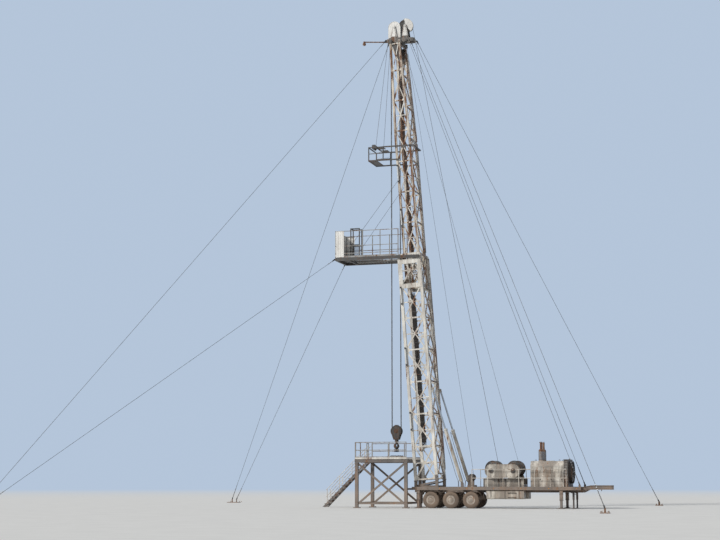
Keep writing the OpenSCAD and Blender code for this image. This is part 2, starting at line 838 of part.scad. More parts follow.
module raising_rams() {
    v = ram_top - ram_base;
    color(colour_mast) both_sides() {
        along(ram_base, ram_top) {
            side_plate(0, ram_eye) difference() {
                union() {
                    circle(r = 75);
                    translate([-75, 0]) square([150, 160]);
                }
                circle(r = ram_pin + seat);
            }
            translate([0, 0, 130]) cylinder(r = 110, h = norm(v) * 0.55);
            translate([0, 0, 130]) cylinder(r = 60, h = norm(v) - 260);
        }
        along(ram_top, ram_base) {
            for (y = [-1, 1]) side_plate(y * (ram_eye / 2 + seat + 15), 30) {
                circle(r = 70);
                translate([-60, 0]) square([120, 170]);
            }
            translate([-60, -ram_eye / 2 - seat - 30, 120]) cube([120, ram_eye + 2 * seat + 60, 60]);
            rotate([90, 0, 0]) cylinder(r = ram_pin, h = 130, center = true);
        }
    }
}

// Rolled beam along +X, its section centred on y and standing on z
module i_beam(length, h, w, t) {
    rotate([90, 0, 90]) linear_extrude(length) polygon([
        [-w / 2, 0], [w / 2, 0], [w / 2, t], [t / 2, t], [t / 2, h - t], [w / 2, h - t],
        [w / 2, h], [-w / 2, h], [-w / 2, h - t], [-t / 2, h - t], [-t / 2, t], [-w / 2, t]]);
}

module trailer_frame() {
    color(colour_frame) {
        both_sides() {
            translate([frame_x0, main_y, deck_z - beam_h]) i_beam(frame_len, beam_h, main_w, 30);
            translate([frame_x0, frame_y - edge_w, deck_z - cross_h]) cube([frame_len, edge_w, cross_h]);
            for (y = [-1, 1]) side_plate(ram_base[1] + y * (ram_eye / 2 + seat + 15), 30) {
                translate([ram_base[0] - 90, deck_z - 10]) square([180, 220]);
                translate([ram_base[0], ram_base[2]]) circle(r = 90);
            }
            translate([ram_base[0], ram_base[1], ram_base[2]]) rotate([90, 0, 0])
                cylinder(r = ram_pin, h = 130, center = true);
            lug(load_anchor, load_pin, 0, 140);
        }
        for (x = cross_x) translate([x, -frame_y + edge_w / 2, deck_z - cross_h])
            cube([200, frame_w - edge_w, cross_h]);
    }
}

module trailer_neck() {
    x0 = frame_x1 + seat;
    x1 = frame_x1 + 1800;
    low = deck_z - beam_h;
    z0 = low + 180;
    color(colour_frame) {
        both_sides() {
            side_plate(main_y, 30) polygon([[x0, low], [x0 + 350, z0], [x1, z0],
                [x1, deck_z + 100], [x0 + 500, deck_z + 100], [x0, deck_z]]);
            side_plate(main_y, main_w) polygon([[x0, deck_z - 30], [x0 + 500, deck_z + 70],
                [x1, deck_z + 70], [x1, deck_z + 100], [x0 + 500, deck_z + 100], [x0, deck_z]]);
            side_plate(main_y, main_w) polygon([[x0, low], [x0 + 350, z0], [x0 + 350, z0 + 30], [x0, low + 30]]);
        }
        translate([x0 + 340, -main_y - main_w / 2, z0]) cube([x1 - x0 - 340, 2 * main_y + main_w, 20]);
        translate([x1 - 700, 0, z0 - 84]) cylinder(r = 25.4, h = 90);
    }
}

module tugger_stand() {
    base = deck_z + seat;
    color(colour_frame) translate([tugger[0], tugger[1], base]) {
        translate([-250, -300, 0]) cube([500, 600, 110]);
        for (y = [-280, 220]) translate([-90, y, 100]) cube([180, 60, tugger[2] - base + 20]);
    }
}

module trailer_deck() {
    color(colour_grey) translate([deck_x0 + 200, -frame_y, deck_z])
        cube([frame_x1 - deck_x0 - 500, frame_w, deck_t]);
}

module axles() {
    rim_r = 289.7;
    color(colour_frame) for (k = [0 : 2]) translate([axle_x + k * axle_pitch, 0, tyre_r]) {
        rotate([90, 0, 0]) cylinder(r = 75, h = 2 * frame_y - 100, center = true);
        both_sides() {
            for (y = [frame_y - 20 - tyre_w, frame_y - 40 - 2 * tyre_w])
                translate([0, y + tyre_w - 10, 0]) rotate([90, 0, 0]) cylinder(r = rim_r, h = tyre_w - 20);
            translate([-480, main_y - 45, 60]) cube([960, 90, 60]);
            for (x = [-480, 420]) translate([x, main_y - 45, 100])
                cube([60, 90, deck_z - beam_h - tyre_r - 100]);
        }
    }
}

module tyre() {
    w = tyre_w;
    rotate([90, 0, 0]) rotate_extrude() polygon([
        [290, 20], [330, 4], [400, 0], [470, 8], [tyre_r - 14, 26], [tyre_r, 60],
        [tyre_r, w - 60], [tyre_r - 14, w - 26], [470, w - 8], [400, w], [330, w - 4], [290, w - 20]]);
}

module tyres() {
    color(colour_dark) for (k = [0 : 2]) translate([axle_x + k * axle_pitch, 0, tyre_r])
        both_sides() for (y = [frame_y - 20, frame_y - 40 - tyre_w]) translate([0, y, 0]) tyre();
}

module levelling_jacks() {
    y0 = frame_y - edge_w - 190;
    color(colour_frame) both_sides() for (x = [cross_x[0] + 200, cross_x[6] + 200]) {
        translate([x, y0, 500]) cube([200, 190, deck_z - 510]);
        translate([x + 25, y0 + 20, 30]) cube([150, 150, 500]);
        translate([x + 100, y0 + 95, 0]) cylinder(r = 220, h = 40, $fn = 12);
    }
}

module drawworks_frame() {
    x0 = drum_x - 600;
    x1 = sand_x + 600;
    base = deck_z + deck_t;
    color(colour_mast) {
        both_sides() side_plate(stand_y + 20, 40) difference() {
            union() {
                translate([x0, base]) square([x1 - x0, 500]);
                for (x = [drum_x, sand_x]) polygon([
                    [x - 420, base + 490], [x + 420, base + 490],
                    [x + 160, drum_z + 160], [x - 160, drum_z + 160]]);
            }
            for (x = [drum_x, sand_x]) translate([x, drum_z]) circle(r = drum_shaft_r + seat);
        }
        for (x = [x0, x1 - 120]) translate([x, -stand_y - 20, base]) cube([120, 2 * stand_y + 40, 160]);
        translate([0, -stand_y - 40, 0]) rotate([90, 0, 0]) linear_extrude(380) {
            for (x = [drum_x, sand_x]) translate([x, drum_z - 150]) circle(r = 420);
            translate([drum_x, drum_z - 570]) square([sand_x - drum_x, 840]);
        }
    }
}

module drum(x) {
    translate([x, 0, drum_z]) rotate([90, 0, 0]) {
        translate([0, 0, -stand_y - 80]) cylinder(r = drum_shaft_r, h = 2 * stand_y + 110);
        cylinder(r = lay_r, h = 2 * drum_half, center = true);
        for (z = [-drum_half, drum_half - 40]) translate([0, 0, z]) cylinder(r = flange_r, h = 40);
    }
}

module winch_drums() {
    color(colour_dark) {
        drum(drum_x);
        drum(sand_x);
        translate(tugger) rotate([90, 0, 0]) {
            cylinder(r = tugger_r, h = 400, center = true);
            for (z = [-219, 199]) translate([0, 0, z]) cylinder(r = tugger_r + 90, h = 20);
        }
    }
}

engine_x = sand_x + 1100;
engine_len = 2100;
module engine_housing() {
    base = deck_z + deck_t;
    color(colour_mast) {
        translate([engine_x, 0, base]) rotate([90, 0, 90]) linear_extrude(engine_len) polygon([
            [-1000, 0], [1000, 0], [1000, 1300], [800, 1600], [-800, 1600], [-1000, 1300]]);
    }
}

module radiator() {
    x0 = engine_x + engine_len + seat;
    base = deck_z + deck_t;
    color(colour_grey) {
        translate([x0, -950, base]) cube([260, 1900, 1700]);
        translate([x0 + 250, 0, base + 900]) rotate([0, 90, 0]) difference() {
            cylinder(r = 700, h = 200);
            translate([0, 0, 60]) cylinder(r = 660, h = 200);
        }
    }
}

module exhaust_stacks() {
    x0 = engine_x + 600;
    base = deck_z + deck_t + 1600;
    color(colour_rust) both_sides() {
        translate([x0, 450, base]) cylinder(r = 150, h = 700);
        translate([x0, 450, base + 690]) cylinder(r = 75, h = 500);
    }
}

module fuel_tanks() {
    h = 560;
    w = 600;
    tank_len = sand_x - drum_x + 1000;
    color(colour_grey) both_sides() translate([drum_x - 300, 0, deck_z - cross_h - h])
        rotate([90, 0, 90]) linear_extrude(tank_len) translate([frame_y - 100 - w, 0]) {
            translate([90, 0]) square([w - 180, h]);
            translate([0, 90]) square([w, h - 180]);
            for (p = [[90, 90], [w - 90, 90], [90, h - 90], [w - 90, h - 90]])
                translate(p) circle(r = 90);
        }
}

module substructure() {
    xs = [-floor_front + 20, floor_rear - 20 - post];
    ys = floor_half - 20 - post;
    h = floor_z - 200;
    color(colour_frame) {
        both_sides() {
            for (x = xs) {
                translate([x, ys, 0]) cube([post, post, h + 10]);
                translate([x - 100, ys - 100, 0]) cube([post + 200, post + 200, 40]);
            }
            translate([-floor_front, ys, h]) cube([floor_front + floor_rear, post, 200]);
            translate([-floor_front, 350, h]) cube([floor_front + floor_rear, 150, 200]);
            side_plate(ys + post / 2, 80) {
                strip([xs[0] + post / 2, 200], [xs[1] + post / 2, h], 120);
                strip([xs[0] + post / 2, h], [xs[1] + post / 2, 200], 120);
                strip([xs[0] + post / 2, 300], [xs[1] + post / 2, 300], 120);
            }
        }
        for (x = xs) {
            translate([x, -ys - 10, h]) cube([post, 2 * ys + 20, 200]);
            translate([x + 60, -ys - 10, 250]) cube([80, 2 * ys + 20, 120]);
        }
        translate([xs[1] + 60, -ys - 10, deck_z - 200]) cube([80, 2 * ys + 20, 120]);
        both_sides() translate([xs[1] + 130, main_y - 50, deck_z - 200])
            cube([frame_x0 - xs[1] - 130, 100, 120]);
    }
}

module work_floor() {
    color(colour_grey) difference() {
        translate([-floor_front, -floor_half, floor_z])
            cube([floor_front + floor_rear, 2 * floor_half, floor_t]);
        translate([-rotary_w / 2 - 1, -rotary_w / 2 - 1, floor_z - 10])
            cube([rotary_w + 2, rotary_w + 2, 100]);
    }
}

module rotary_table() {
    color(colour_grey) difference() {
        union() {
            translate([-rotary_w / 2, -rotary_w / 2, floor_z]) cube([rotary_w, rotary_w, rotary_h - 80]);
            translate([0, 0, floor_z + rotary_h - 90]) cylinder(r = 430, h = 90);
        }
        translate([0, 0, floor_z - 10]) cylinder(r = rotary_r, h = rotary_h + 20);
    }
}

module rail_run(p, q, posts) {
    v = q - p;
    translate(p) rotate([0, 0, atan2(v[1], v[0])]) {
        for (k = [0 : posts]) translate([k * (norm(v) - 50) / posts, -25, 0]) cube([50, 50, rail_h]);
        for (z = [120, rail_h / 2, rail_h - 50]) translate([0, -20, z]) cube([norm(v), 40, 50]);
    }
}

stair_w = 700;
stair_y = floor_half - 50 - stair_w;
module floor_rails() {
    z = floor_z + floor_t;
    y = floor_half - 40;
    x0 = -floor_front + 40;
    color(colour_mast) {
        for (s = [-1, 1]) rail_run([x0, s * y, z], [floor_rear - 60, s * y, z], 3);
        rail_run([x0, -y - 25, z], [x0, -700, z], 1);
        rail_run([x0, 700, z], [x0, stair_y - 20, z], 1);
    }
}

module floor_stair() {
    run = floor_z;
    rise = floor_z / (tread_count + 1);
    x0 = -floor_front - seat;
    color(colour_frame) {
        for (y = [stair_y, stair_y + stair_w - 20]) side_plate(y + 10, 20)
            translate([x0 - run - 90, 0]) polygon([
                [0, 0], [230, 0], [run + 90, run - 140], [run + 90, run], [run + 50, run]]);
        for (k = [1 : tread_count]) translate([x0 - run + (k - 1) * rise + 40, stair_y + 10, k * rise - 30])
            cube([240, stair_w - 20, 30]);
    }
}

cheek_y = 1.5 * sheave_pitch + 5;
block_low = 400;
module travelling_block() {
    color(colour_dark) translate([0, 0, block_z]) {
        both_sides() side_plate(cheek_y + cheek_t / 2, cheek_t) {
            circle(r = rim_r + 25);
            polygon([[-rim_r - 25, 0], [-180, -block_low - 160], [180, -block_low - 160], [rim_r + 25, 0]]);
        }
        side_plate(0, 2 * cheek_y + 10) translate([-100, rim_r + 8]) square([200, 50]);
        both_sides() translate([-100, cheek_y, 0]) cube([200, cheek_t, rim_r + 58]);
        difference() {
            translate([-130, -cheek_y - 5, -block_low - 150]) cube([260, 2 * cheek_y + 10, 150]);
            translate([0, 0, -block_low - 200]) cylinder(r = 60.5, h = 300);
        }
        rotate([90, 0, 0]) cylinder(r = block_shaft_r, h = 2 * cheek_y + 2 * cheek_t + 60, center = true);
    }
}

module block_sheaves() {
    color(colour_dark) translate([0, 0, block_z]) difference() {
        sheave_cluster(block_shaft_r - 5, block_shaft_r + 50);
        rotate([90, 0, 0]) cylinder(r = block_shaft_r + 0.05, h = 1000, center = true);
    }
}

module block_rope_wraps() {
    color(colour_rope) for (k = [-1 : 1]) translate([0, k * sheave_pitch, block_z])
        rope_arc(sheave_r, 180, 180);
}

module drilling_lines() {
    top = crown_z - 0.5;
    low = block_z + 0.5;
    color(colour_rope) {
        rod([sheave_r, fast_y, fast_z - 0.5], [sheave_r, -sheave_pitch, low], line_d / 2);
        for (k = [0 : 2]) {
            rod([-sheave_r, (k - 0.5) * sheave_pitch, top], [-sheave_r, (k - 1) * sheave_pitch, low],
                line_d / 2);
            if (k < 2) rod([sheave_r, (k - 0.5) * sheave_pitch, top], [sheave_r, k * sheave_pitch, low],
                line_d / 2);
        }
    }
}

hook_top = block_z - block_low - 150;
module hook() {
    color(colour_dark) translate([0, 0, hook_top]) {
        translate([0, 0, 151]) cylinder(r = 85, h = 38);
        translate([0, 0, -20]) cylinder(r = 60, h = 190);
        translate([0, 0, -205]) cylinder(r = 130, h = 199);
        side_plate(0, 90) difference() {
            union() {
                translate([0, -400]) circle(r = 170);
                translate([-60, -300]) square([120, 110]);
            }
            translate([0, -390]) circle(r = 85);
            translate([20, -380]) square([200, 110]);
        }
        rotate([90, 0, 0]) translate([0, -140, 0]) cylinder(r = 40, h = 460, center = true);
    }
}

link_y = 190;
module elevator_links() {
    z0 = hook_top - 140;
    color(colour_dark) both_sides() translate([0, link_y, z0]) side_plate(0, 50) difference() {
        union() {
            circle(r = 85);
            translate([-30, -560]) square([60, 500]);
            translate([0, -560]) circle(r = 75);
        }
        circle(r = 40 + seat);
        translate([0, -560]) circle(r = 40 + seat);
    }
}

module elevators() {
    z0 = hook_top - 700;
    color(colour_dark) translate([0, 0, z0]) {
        difference() {
            translate([0, 0, -100]) cylinder(r = 150, h = 200);
            translate([0, 0, -110]) cylinder(r = 37, h = 220);
            translate([0, -20, -110]) cube([300, 40, 220]);
        }
        both_sides() translate([0, 240, 0]) rotate([90, 0, 0]) cylinder(r = 40, h = 110);
    }
}

lower_mast_near_side();
lower_mast_far_side();
lower_mast_back();
mast_lock_pawls();
upper_mast_near_side();
upper_mast_far_side();
upper_mast_back();
mast_ladders();
crown_frame();
front_sheave_guard();
rear_sheave_guard();
crown_arm();
crown_rope_wraps();
rod_basket();
rod_fingers();
basket_floodlight();
board_frame();
racking_fingers();
board_walkway();
board_rails();
board_end_panel();
derrick_cage();
guy_lines();
load_guy_lines();
guy_anchors();
fast_line();
dead_line();
winch_lines();
mast_stand();
raising_rams();
trailer_frame();
trailer_neck();
tugger_stand();
trailer_deck();
axles();
tyres();
levelling_jacks();
drawworks_frame();
winch_drums();
engine_housing();
radiator();
exhaust_stacks();
fuel_tanks();
substructure();
work_floor();
rotary_table();
floor_rails();
floor_stair();
crown_sheaves();
fast_line_sheave();
travelling_block();
block_sheaves();
block_rope_wraps();
drilling_lines();
hook();
elevator_links();
elevators();
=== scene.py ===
import json
from functools import partial
from itertools import product
from math import acos, atan2, ceil, cos, pi, radians, sin, sqrt

import bmesh
import bpy
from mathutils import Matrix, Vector


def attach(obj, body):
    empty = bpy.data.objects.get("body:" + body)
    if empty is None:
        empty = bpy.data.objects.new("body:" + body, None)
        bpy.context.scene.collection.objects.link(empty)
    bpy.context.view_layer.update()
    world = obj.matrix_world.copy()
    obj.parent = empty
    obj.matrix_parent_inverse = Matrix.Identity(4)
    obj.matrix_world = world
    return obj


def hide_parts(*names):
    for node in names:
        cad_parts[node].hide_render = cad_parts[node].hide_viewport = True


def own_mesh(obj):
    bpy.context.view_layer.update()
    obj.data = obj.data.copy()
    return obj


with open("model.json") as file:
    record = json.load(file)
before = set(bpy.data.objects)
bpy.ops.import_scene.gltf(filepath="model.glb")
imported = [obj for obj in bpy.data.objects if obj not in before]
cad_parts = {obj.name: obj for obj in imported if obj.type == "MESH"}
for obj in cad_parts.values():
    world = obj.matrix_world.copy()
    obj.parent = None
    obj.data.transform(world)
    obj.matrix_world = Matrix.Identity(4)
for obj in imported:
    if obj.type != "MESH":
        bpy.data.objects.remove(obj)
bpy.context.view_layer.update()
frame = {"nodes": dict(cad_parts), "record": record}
print("frame loaded:", len(frame["nodes"]), "nodes")

# sizes that the frame was made with, in metres
mast = {"foot": Vector((2.246, 0, 1.8)), "lean": radians(4.25), "lowLen": 14.74, "length": 29.18,
        "lowDepth": 0.695, "lowSide": 1.0, "lowLeg": 0.09, "lowBay": 2.09143, "bays": 7,
        "upStart": 12.5486, "upFront": -0.345, "upBack": 0.605, "upSide": 0.8, "upLeg": 0.07,
        "upBay": 2.07893, "knee": 22.48, "taper": 6.7, "frontIn": 0.145, "backIn": 0.205}
crown = {"z": 32.15, "sheave": 0.305, "pitch": 0.09, "fastR": 0.457, "fastX": 0.762,
         "fastY": -0.135, "fastZ": 32.2, "railY": 0.28, "railTop": 31.35, "railMid": 31.24}
shafts = ((0, crown["z"]), (crown["fastX"], crown["fastZ"]))
line = {"r": 0.013, "lay": 0.17, "strands": 6, "end": 0.0005}
block = {"z": 4.95, "hookTop": 4.40, "hookPin": 4.26, "travel": 24.0}
board = {"top": 16.4, "x0": -3.86, "cage": -3.05, "inner": 1.09, "rail": 2.0}
trailer = {"x0": 1.35, "x1": 12.2, "deck": 1.35, "half": 1.3,
           "drumX": 6.5, "sandX": 7.9, "drumZ": 2.5, "axles": (2.6, 3.9, 5.2)}
floor = {"z": 3.1, "x0": -2.3, "x1": 1.22, "half": 1.9}
both = (-1, 1)
xAxis, yAxis, zAxis = (1, 0, 0), (0, 1, 0), (0, 0, 1)
pressed = 0.002  # bevel of thin plates


def meshes(count):
    return [bmesh.new() for _ in range(count)]


def onMast(d, y, s):
    # a point by its depth in the mast, its side and its way up the leaning legs
    c, n = cos(mast["lean"]), sin(mast["lean"])
    return Vector((mast["foot"].x + d * c - s * n, y, mast["foot"].z + d * n + s * c))


def upEdges(s):
    # front and rear inner edges of the upper section, which tapers above its knee
    share = max(0, s - mast["knee"]) / mast["taper"]
    return (mast["upFront"] + mast["frontIn"] * share + mast["upLeg"],
            mast["upBack"] - mast["backIn"] * share - mast["upLeg"])


def across(direction, near=yAxis):
    side = Vector(near)
    side = side - direction * side.dot(direction)
    if side.length < 1e-5:
        side = Vector(xAxis) - direction * direction.x
    return side.normalized()


def arc(x, y, z, r, start=0.0, end=2 * pi, steps=40):
    turns = (start + (end - start) * k / steps for k in range(steps + 1))
    return [Vector((x + r * cos(a), y, z + r * sin(a))) for a in turns]


def skin(bm, rings, closed=False):
    count = len(rings[0])
    for i in range(len(rings) if closed else len(rings) - 1):
        a, b = rings[i], rings[(i + 1) % len(rings)]
        for j in range(count):
            k = (j + 1) % count
            bm.faces.new((a[j], a[k], b[k], b[j]))
    if not closed:
        bm.faces.new(list(reversed(rings[0])))
        bm.faces.new(rings[-1])


def around(bm, centre, x, y, radius, sides):
    turns = (2 * pi * k / sides for k in range(sides))
    return [bm.verts.new(centre + (x * cos(a) + y * sin(a)) * radius) for a in turns]


def bar(bm, p, q, wide, thick, side=yAxis):
    p, q = Vector(p), Vector(q)
    z = (q - p).normalized()
    t = across(z, side)
    w = z.cross(t)
    corners = ((-1, -1), (1, -1), (1, 1), (-1, 1))
    skin(bm, [[bm.verts.new(end + w * a * wide / 2 + t * b * thick / 2) for a, b in corners]
              for end in (p, q)])


def box(bm, one, two):
    lo, hi = (Vector([pick(a, b) for a, b in zip(one, two)]) for pick in (min, max))
    x, y = (lo.x + hi.x) / 2, (lo.y + hi.y) / 2
    bar(bm, (x, y, lo.z), (x, y, hi.z), hi.x - lo.x, hi.y - lo.y)


def boxAt(bm, centre, size):
    c, h = Vector(centre), Vector(size) / 2
    box(bm, c - h, c + h)


def tube(bm, points, radius, sides=10, closed=False, stretch=1.0):
    points = [Vector(p) for p in points]
    count = len(points)
    radii = radius if isinstance(radius, (list, tuple)) else [radius] * count
    rings, x = [], None
    for i, p in enumerate(points):
        before = points[(i - 1) % count] if closed or i else p
        after = points[(i + 1) % count] if closed or i < count - 1 else p
        z = (after - before).normalized()
        x = across(z) if x is None else (x - z * x.dot(z)).normalized()
        y = z.cross(x)
        turns = (2 * pi * k / sides for k in range(sides))
        rings.append([bm.verts.new(p + (x * cos(a) * stretch + y * sin(a)) * radii[i])
                      for a in turns])
    skin(bm, rings, closed)


def lathe(bm, base, axis, profile, sides=24, closed=False):
    base, z = Vector(base), Vector(axis).normalized()
    x = across(z)
    y = z.cross(x)
    skin(bm, [around(bm, base + z * height, x, y, radius, sides) for radius, height in profile],
         closed)


def disc(bm, base, axis, radius, height, sides=24):
    lathe(bm, base, axis, ((radius, 0), (radius, height)), sides)


def bolt(bm, base, axis, radius=0.016, height=0.012):
    washer = 0.003
    disc(bm, base, axis, radius * 1.5, washer, 12)
    disc(bm, Vector(base) + Vector(axis).normalized() * washer, axis, radius, height, 6)


def boltRing(bm, centre, axis, radius, count, size=0.016, start=0.0):
    z = Vector(axis).normalized()
    x = across(z)
    y = z.cross(x)
    for k in range(count):
        a = start + 2 * pi * k / count
        bolt(bm, Vector(centre) + (x * cos(a) + y * sin(a)) * radius, z, size, size * 0.8)


def boltGrid(bm, xs, ys, zs, axis, size):
    for spot in product(xs, ys, zs):
        bolt(bm, spot, axis, size)


def plate(bm, outline, normal, thick):
    n = Vector(normal).normalized() * thick
    low = [bm.verts.new(Vector(p)) for p in outline]
    high = [bm.verts.new(Vector(p) + n) for p in outline]
    skin(bm, [low, high])


def mastPlate(bm, corners, normal, thick):
    plate(bm, [onMast(*corner) for corner in corners], normal, thick)


def bend(points, steps=6):
    # Catmull-Rom curve through the points
    points = [Vector(p) for p in points]
    out = []
    for i in range(len(points) - 1):
        a = points[max(i - 1, 0)]
        b, c = points[i], points[i + 1]
        d = points[min(i + 2, len(points) - 1)]
        for t in (k / steps for k in range(steps)):
            out.append(0.5 * (2 * b + (c - a) * t + (2 * a - 5 * b + 4 * c - d) * t * t
                              + (3 * b - a - 3 * c + d) * t ** 3))
    return out + [points[-1]]


def rope(bm, points, ringsPerTurn=6):
    # wire rope: a lobed section that turns once in each lay length
    points = [Vector(p) for p in points]
    spans = [(q - p).length for p, q in zip(points, points[1:])]
    total, lobes, valley = sum(spans), line["strands"], 0.84
    count = max(2, int(ceil(total / line["lay"] * ringsPerTurn)))
    rings, x, index, passed = [], None, 0, 0.0
    for k in range(count + 1):
        run = total * k / count
        while index < len(spans) - 1 and run > passed + spans[index]:
            passed += spans[index]
            index += 1
        share = (run - passed) / spans[index]
        p = points[index].lerp(points[index + 1], min(1.0, share))
        z = (points[index + 1] - points[index]).normalized()
        x = across(z) if x is None else (x - z * x.dot(z)).normalized()
        y = z.cross(x)
        ring = []
        for j in range(2 * lobes):
            a = 2 * pi * run / line["lay"] + pi * j / lobes
            out = (x * cos(a) + y * sin(a)) * line["r"] * (1.0 if j % 2 else valley)
            ring.append(bm.verts.new(p + out))
        rings.append(ring)
    skin(bm, rings)


def piece(name, bm, slot, finish=None, body="root", replaces=(), smooth=35, bevel=0.0):
    # one object of the look, in the finish of its slot unless another is given
    bmesh.ops.recalc_face_normals(bm, faces=bm.faces)
    mesh = bpy.data.meshes.new(name)
    bm.to_mesh(mesh)
    bm.free()
    mesh.materials.append(finish or finishes[slot])
    mesh.shade_smooth()
    mesh.set_sharp_from_angle(angle=radians(smooth))
    obj = bpy.data.objects.new(name, mesh)
    bpy.context.scene.collection.objects.link(obj)
    if bevel:
        mod = obj.modifiers.new("edges", "BEVEL")
        mod.width, mod.segments, mod.limit_method = bevel, 2, "ANGLE"
    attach(obj, body)
    if replaces:
        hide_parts(*replaces)
    return obj


def put(tree, kind, values=None, **settings):
    node = tree.nodes.new("ShaderNode" + kind)
    for key, value in settings.items():
        setattr(node, key, value)
    for key, value in (values or {}).items():
        if isinstance(value, bpy.types.NodeSocket):
            tree.links.new(value, node.inputs[key])
        else:
            node.inputs[key].default_value = value
    return node


def maths(tree, how, a, b=0.0, clamp=False):
    return put(tree, "Math", {0: a, 1: b}, operation=how, use_clamp=clamp).outputs[0]


def signs(tree):
    return [partial(maths, tree, how) for how in ("ADD", "MULTIPLY", "SUBTRACT")]


def blend(tree, share, a, b):
    return put(tree, "Mix", {0: share, 6: a, 7: b}, data_type="RGBA").outputs[2]


def remap(tree, value, low, high, toLow=0.0, toHigh=1.0):
    return put(tree, "MapRange", {0: value, 1: low, 2: high, 3: toLow, 4: toHigh},
               interpolation_type="SMOOTHSTEP").outputs[0]


def noiseAt(tree, coords, scale, detail=4.0, stretch=(1, 1, 1), rough=0.55):
    spot = put(tree, "Mapping", {"Vector": coords, "Scale": stretch})
    return put(tree, "TexNoise", {"Vector": spot.outputs[0], "Scale": scale, "Detail": detail,
                                  "Roughness": rough}).outputs[0]


def positions(tree):
    place = put(tree, "TexCoord").outputs["Object"]
    return place, put(tree, "SeparateXYZ", {0: place}).outputs


def group(name, inputs, outputs=("Color", "Roughness", "Height")):
    tree = bpy.data.node_groups.new(name, "ShaderNodeTree")
    for way, labels in (("INPUT", inputs), ("OUTPUT", outputs)):
        for label in labels:
            kind = "NodeSocketColor" if label in toneLabels else "NodeSocketFloat"
            tree.interface.new_socket(name=label, in_out=way, socket_type=kind)
    return tree, tree.nodes.new("NodeGroupInput").outputs, tree.nodes.new("NodeGroupOutput").inputs


def give(tree, out, colour, rough, height):
    for label, value in (("Color", colour), ("Roughness", rough), ("Height", height)):
        tree.links.new(value, out[label])
    return tree


toneLabels = ("Color", "Paint", "Faded", "Rust", "Grime", "Metal", "Grease")
paintLabels = ("Paint", "Faded", "Rust", "Grime",
               "Rust Share", "Run Length", "Grime Share", "Dust Share", "Base Roughness")
metalLabels = ("Metal", "Grease", "Rust", "Grease Share", "Rust Share", "Grain", "Base Roughness")


def makeWeathering():
    # paint that fades, chips, runs with rust and gathers grime and dust
    tree, given, out = group("weathering", paintLabels)
    plus, times, less = signs(tree)
    deepRust, dustTone, runScale = (0.075, 0.035, 0.02, 1), (0.47, 0.33, 0.235, 1), 7.0
    place, parts = positions(tree)
    runs = put(tree, "CombineXYZ", {0: times(parts[0], runScale), 1: times(parts[1], runScale),
                                    2: times(parts[2], given["Run Length"])}).outputs[0]
    streak = noiseAt(tree, runs, 1.0, 3.0)
    blotch = noiseAt(tree, place, 0.85, 5.0)
    chips = noiseAt(tree, place, 17.0, 6.0, rough=0.7)
    mixed = plus(plus(times(streak, 0.5), times(blotch, 0.32)), times(chips, 0.18))
    over = less(mixed, less(0.63, times(given["Rust Share"], 0.26)))
    rust, halo = remap(tree, over, -0.012, 0.05), remap(tree, over, -0.07, 0.03)
    soil = remap(tree, plus(noiseAt(tree, place, 1.9, 6.0, (1, 1, 0.3), 0.62),
                            times(given["Grime Share"], 0.3)), 0.52, 0.78)
    fade = remap(tree, noiseAt(tree, place, 0.4, 3.0, (1, 1, 0.5)), 0.35, 0.68)
    normal = put(tree, "NewGeometry").outputs["Normal"]
    facing = put(tree, "SeparateXYZ", {0: normal}).outputs[2]
    low = remap(tree, parts[2], 0.0, 4.5, 1.0, 0.12)
    dust = times(times(remap(tree, facing, -0.4, 1.0, 0.3, 1.0), low),
                 times(given["Dust Share"], remap(tree, blotch, 0.3, 0.7, 0.55, 1.2)), clamp=True)
    colour = blend(tree, fade, given["Paint"], given["Faded"])
    colour = blend(tree, times(soil, given["Grime Share"]), colour, given["Grime"])
    stain = blend(tree, 0.5, given["Rust"], given["Faded"])
    colour = blend(tree, times(halo, 0.55), colour, stain)
    deep = blend(tree, remap(tree, chips, 0.35, 0.7), given["Rust"], deepRust)
    colour = blend(tree, dust, blend(tree, rust, colour, deep), dustTone)
    rough = plus(plus(given["Base Roughness"], times(rust, 0.38)), times(dust, 0.35), clamp=True)
    return give(tree, out, colour, rough, less(times(chips, 0.35), times(rust, 0.5)))


def makeBareMetal():
    # bare or greasy metal with grain, rust spots and old grease
    tree, given, out = group("bareMetal", metalLabels)
    plus, times = signs(tree)[:2]
    place = positions(tree)[0]
    fine = noiseAt(tree, place, given["Grain"], 5.0, rough=0.6)
    grease = times(remap(tree, noiseAt(tree, place, 2.6, 5.0), 0.38, 0.66), given["Grease Share"],
                   clamp=True)
    spot = noiseAt(tree, place, 6.5, 6.0, rough=0.68)
    rust = remap(tree, plus(spot, times(given["Rust Share"], 0.3)), 0.58, 0.74)
    rusty = times(rust, times(given["Rust Share"], 2.0), clamp=True)
    colour = blend(tree, remap(tree, fine, 0.3, 0.7, 0.0, 0.35), given["Metal"], given["Grease"])
    colour = blend(tree, grease, blend(tree, rusty, colour, given["Rust"]), given["Grease"])
    rough = plus(given["Base Roughness"], plus(times(fine, 0.2), times(rust, 0.25)), clamp=True)
    return give(tree, out, colour, rough, fine)


def makeTread():
    # raised lozenges of tread plate, two ways across
    tree, given, out = group("treadPlate", ("Pitch",), ("Height",))
    plus, times, less = signs(tree)
    parts = positions(tree)[1]
    turn = maths(tree, "DIVIDE", 2 * pi, given["Pitch"])
    waves = []
    for sign in (1.0, -1.0):
        shift = times(parts[1], sign)
        long = maths(tree, "SINE", times(plus(parts[0], shift), turn))
        short = maths(tree, "SINE", times(less(parts[0], shift), times(turn, 0.4)))
        wave = times(maths(tree, "ABSOLUTE", long), times(short, sign), clamp=True)
        waves.append(remap(tree, wave, 0.45, 0.8))
    tree.links.new(maths(tree, "MAXIMUM", *waves), out["Height"])
    return tree


weathering, bareMetal, treadPlate = makeWeathering(), makeBareMetal(), makeTread()


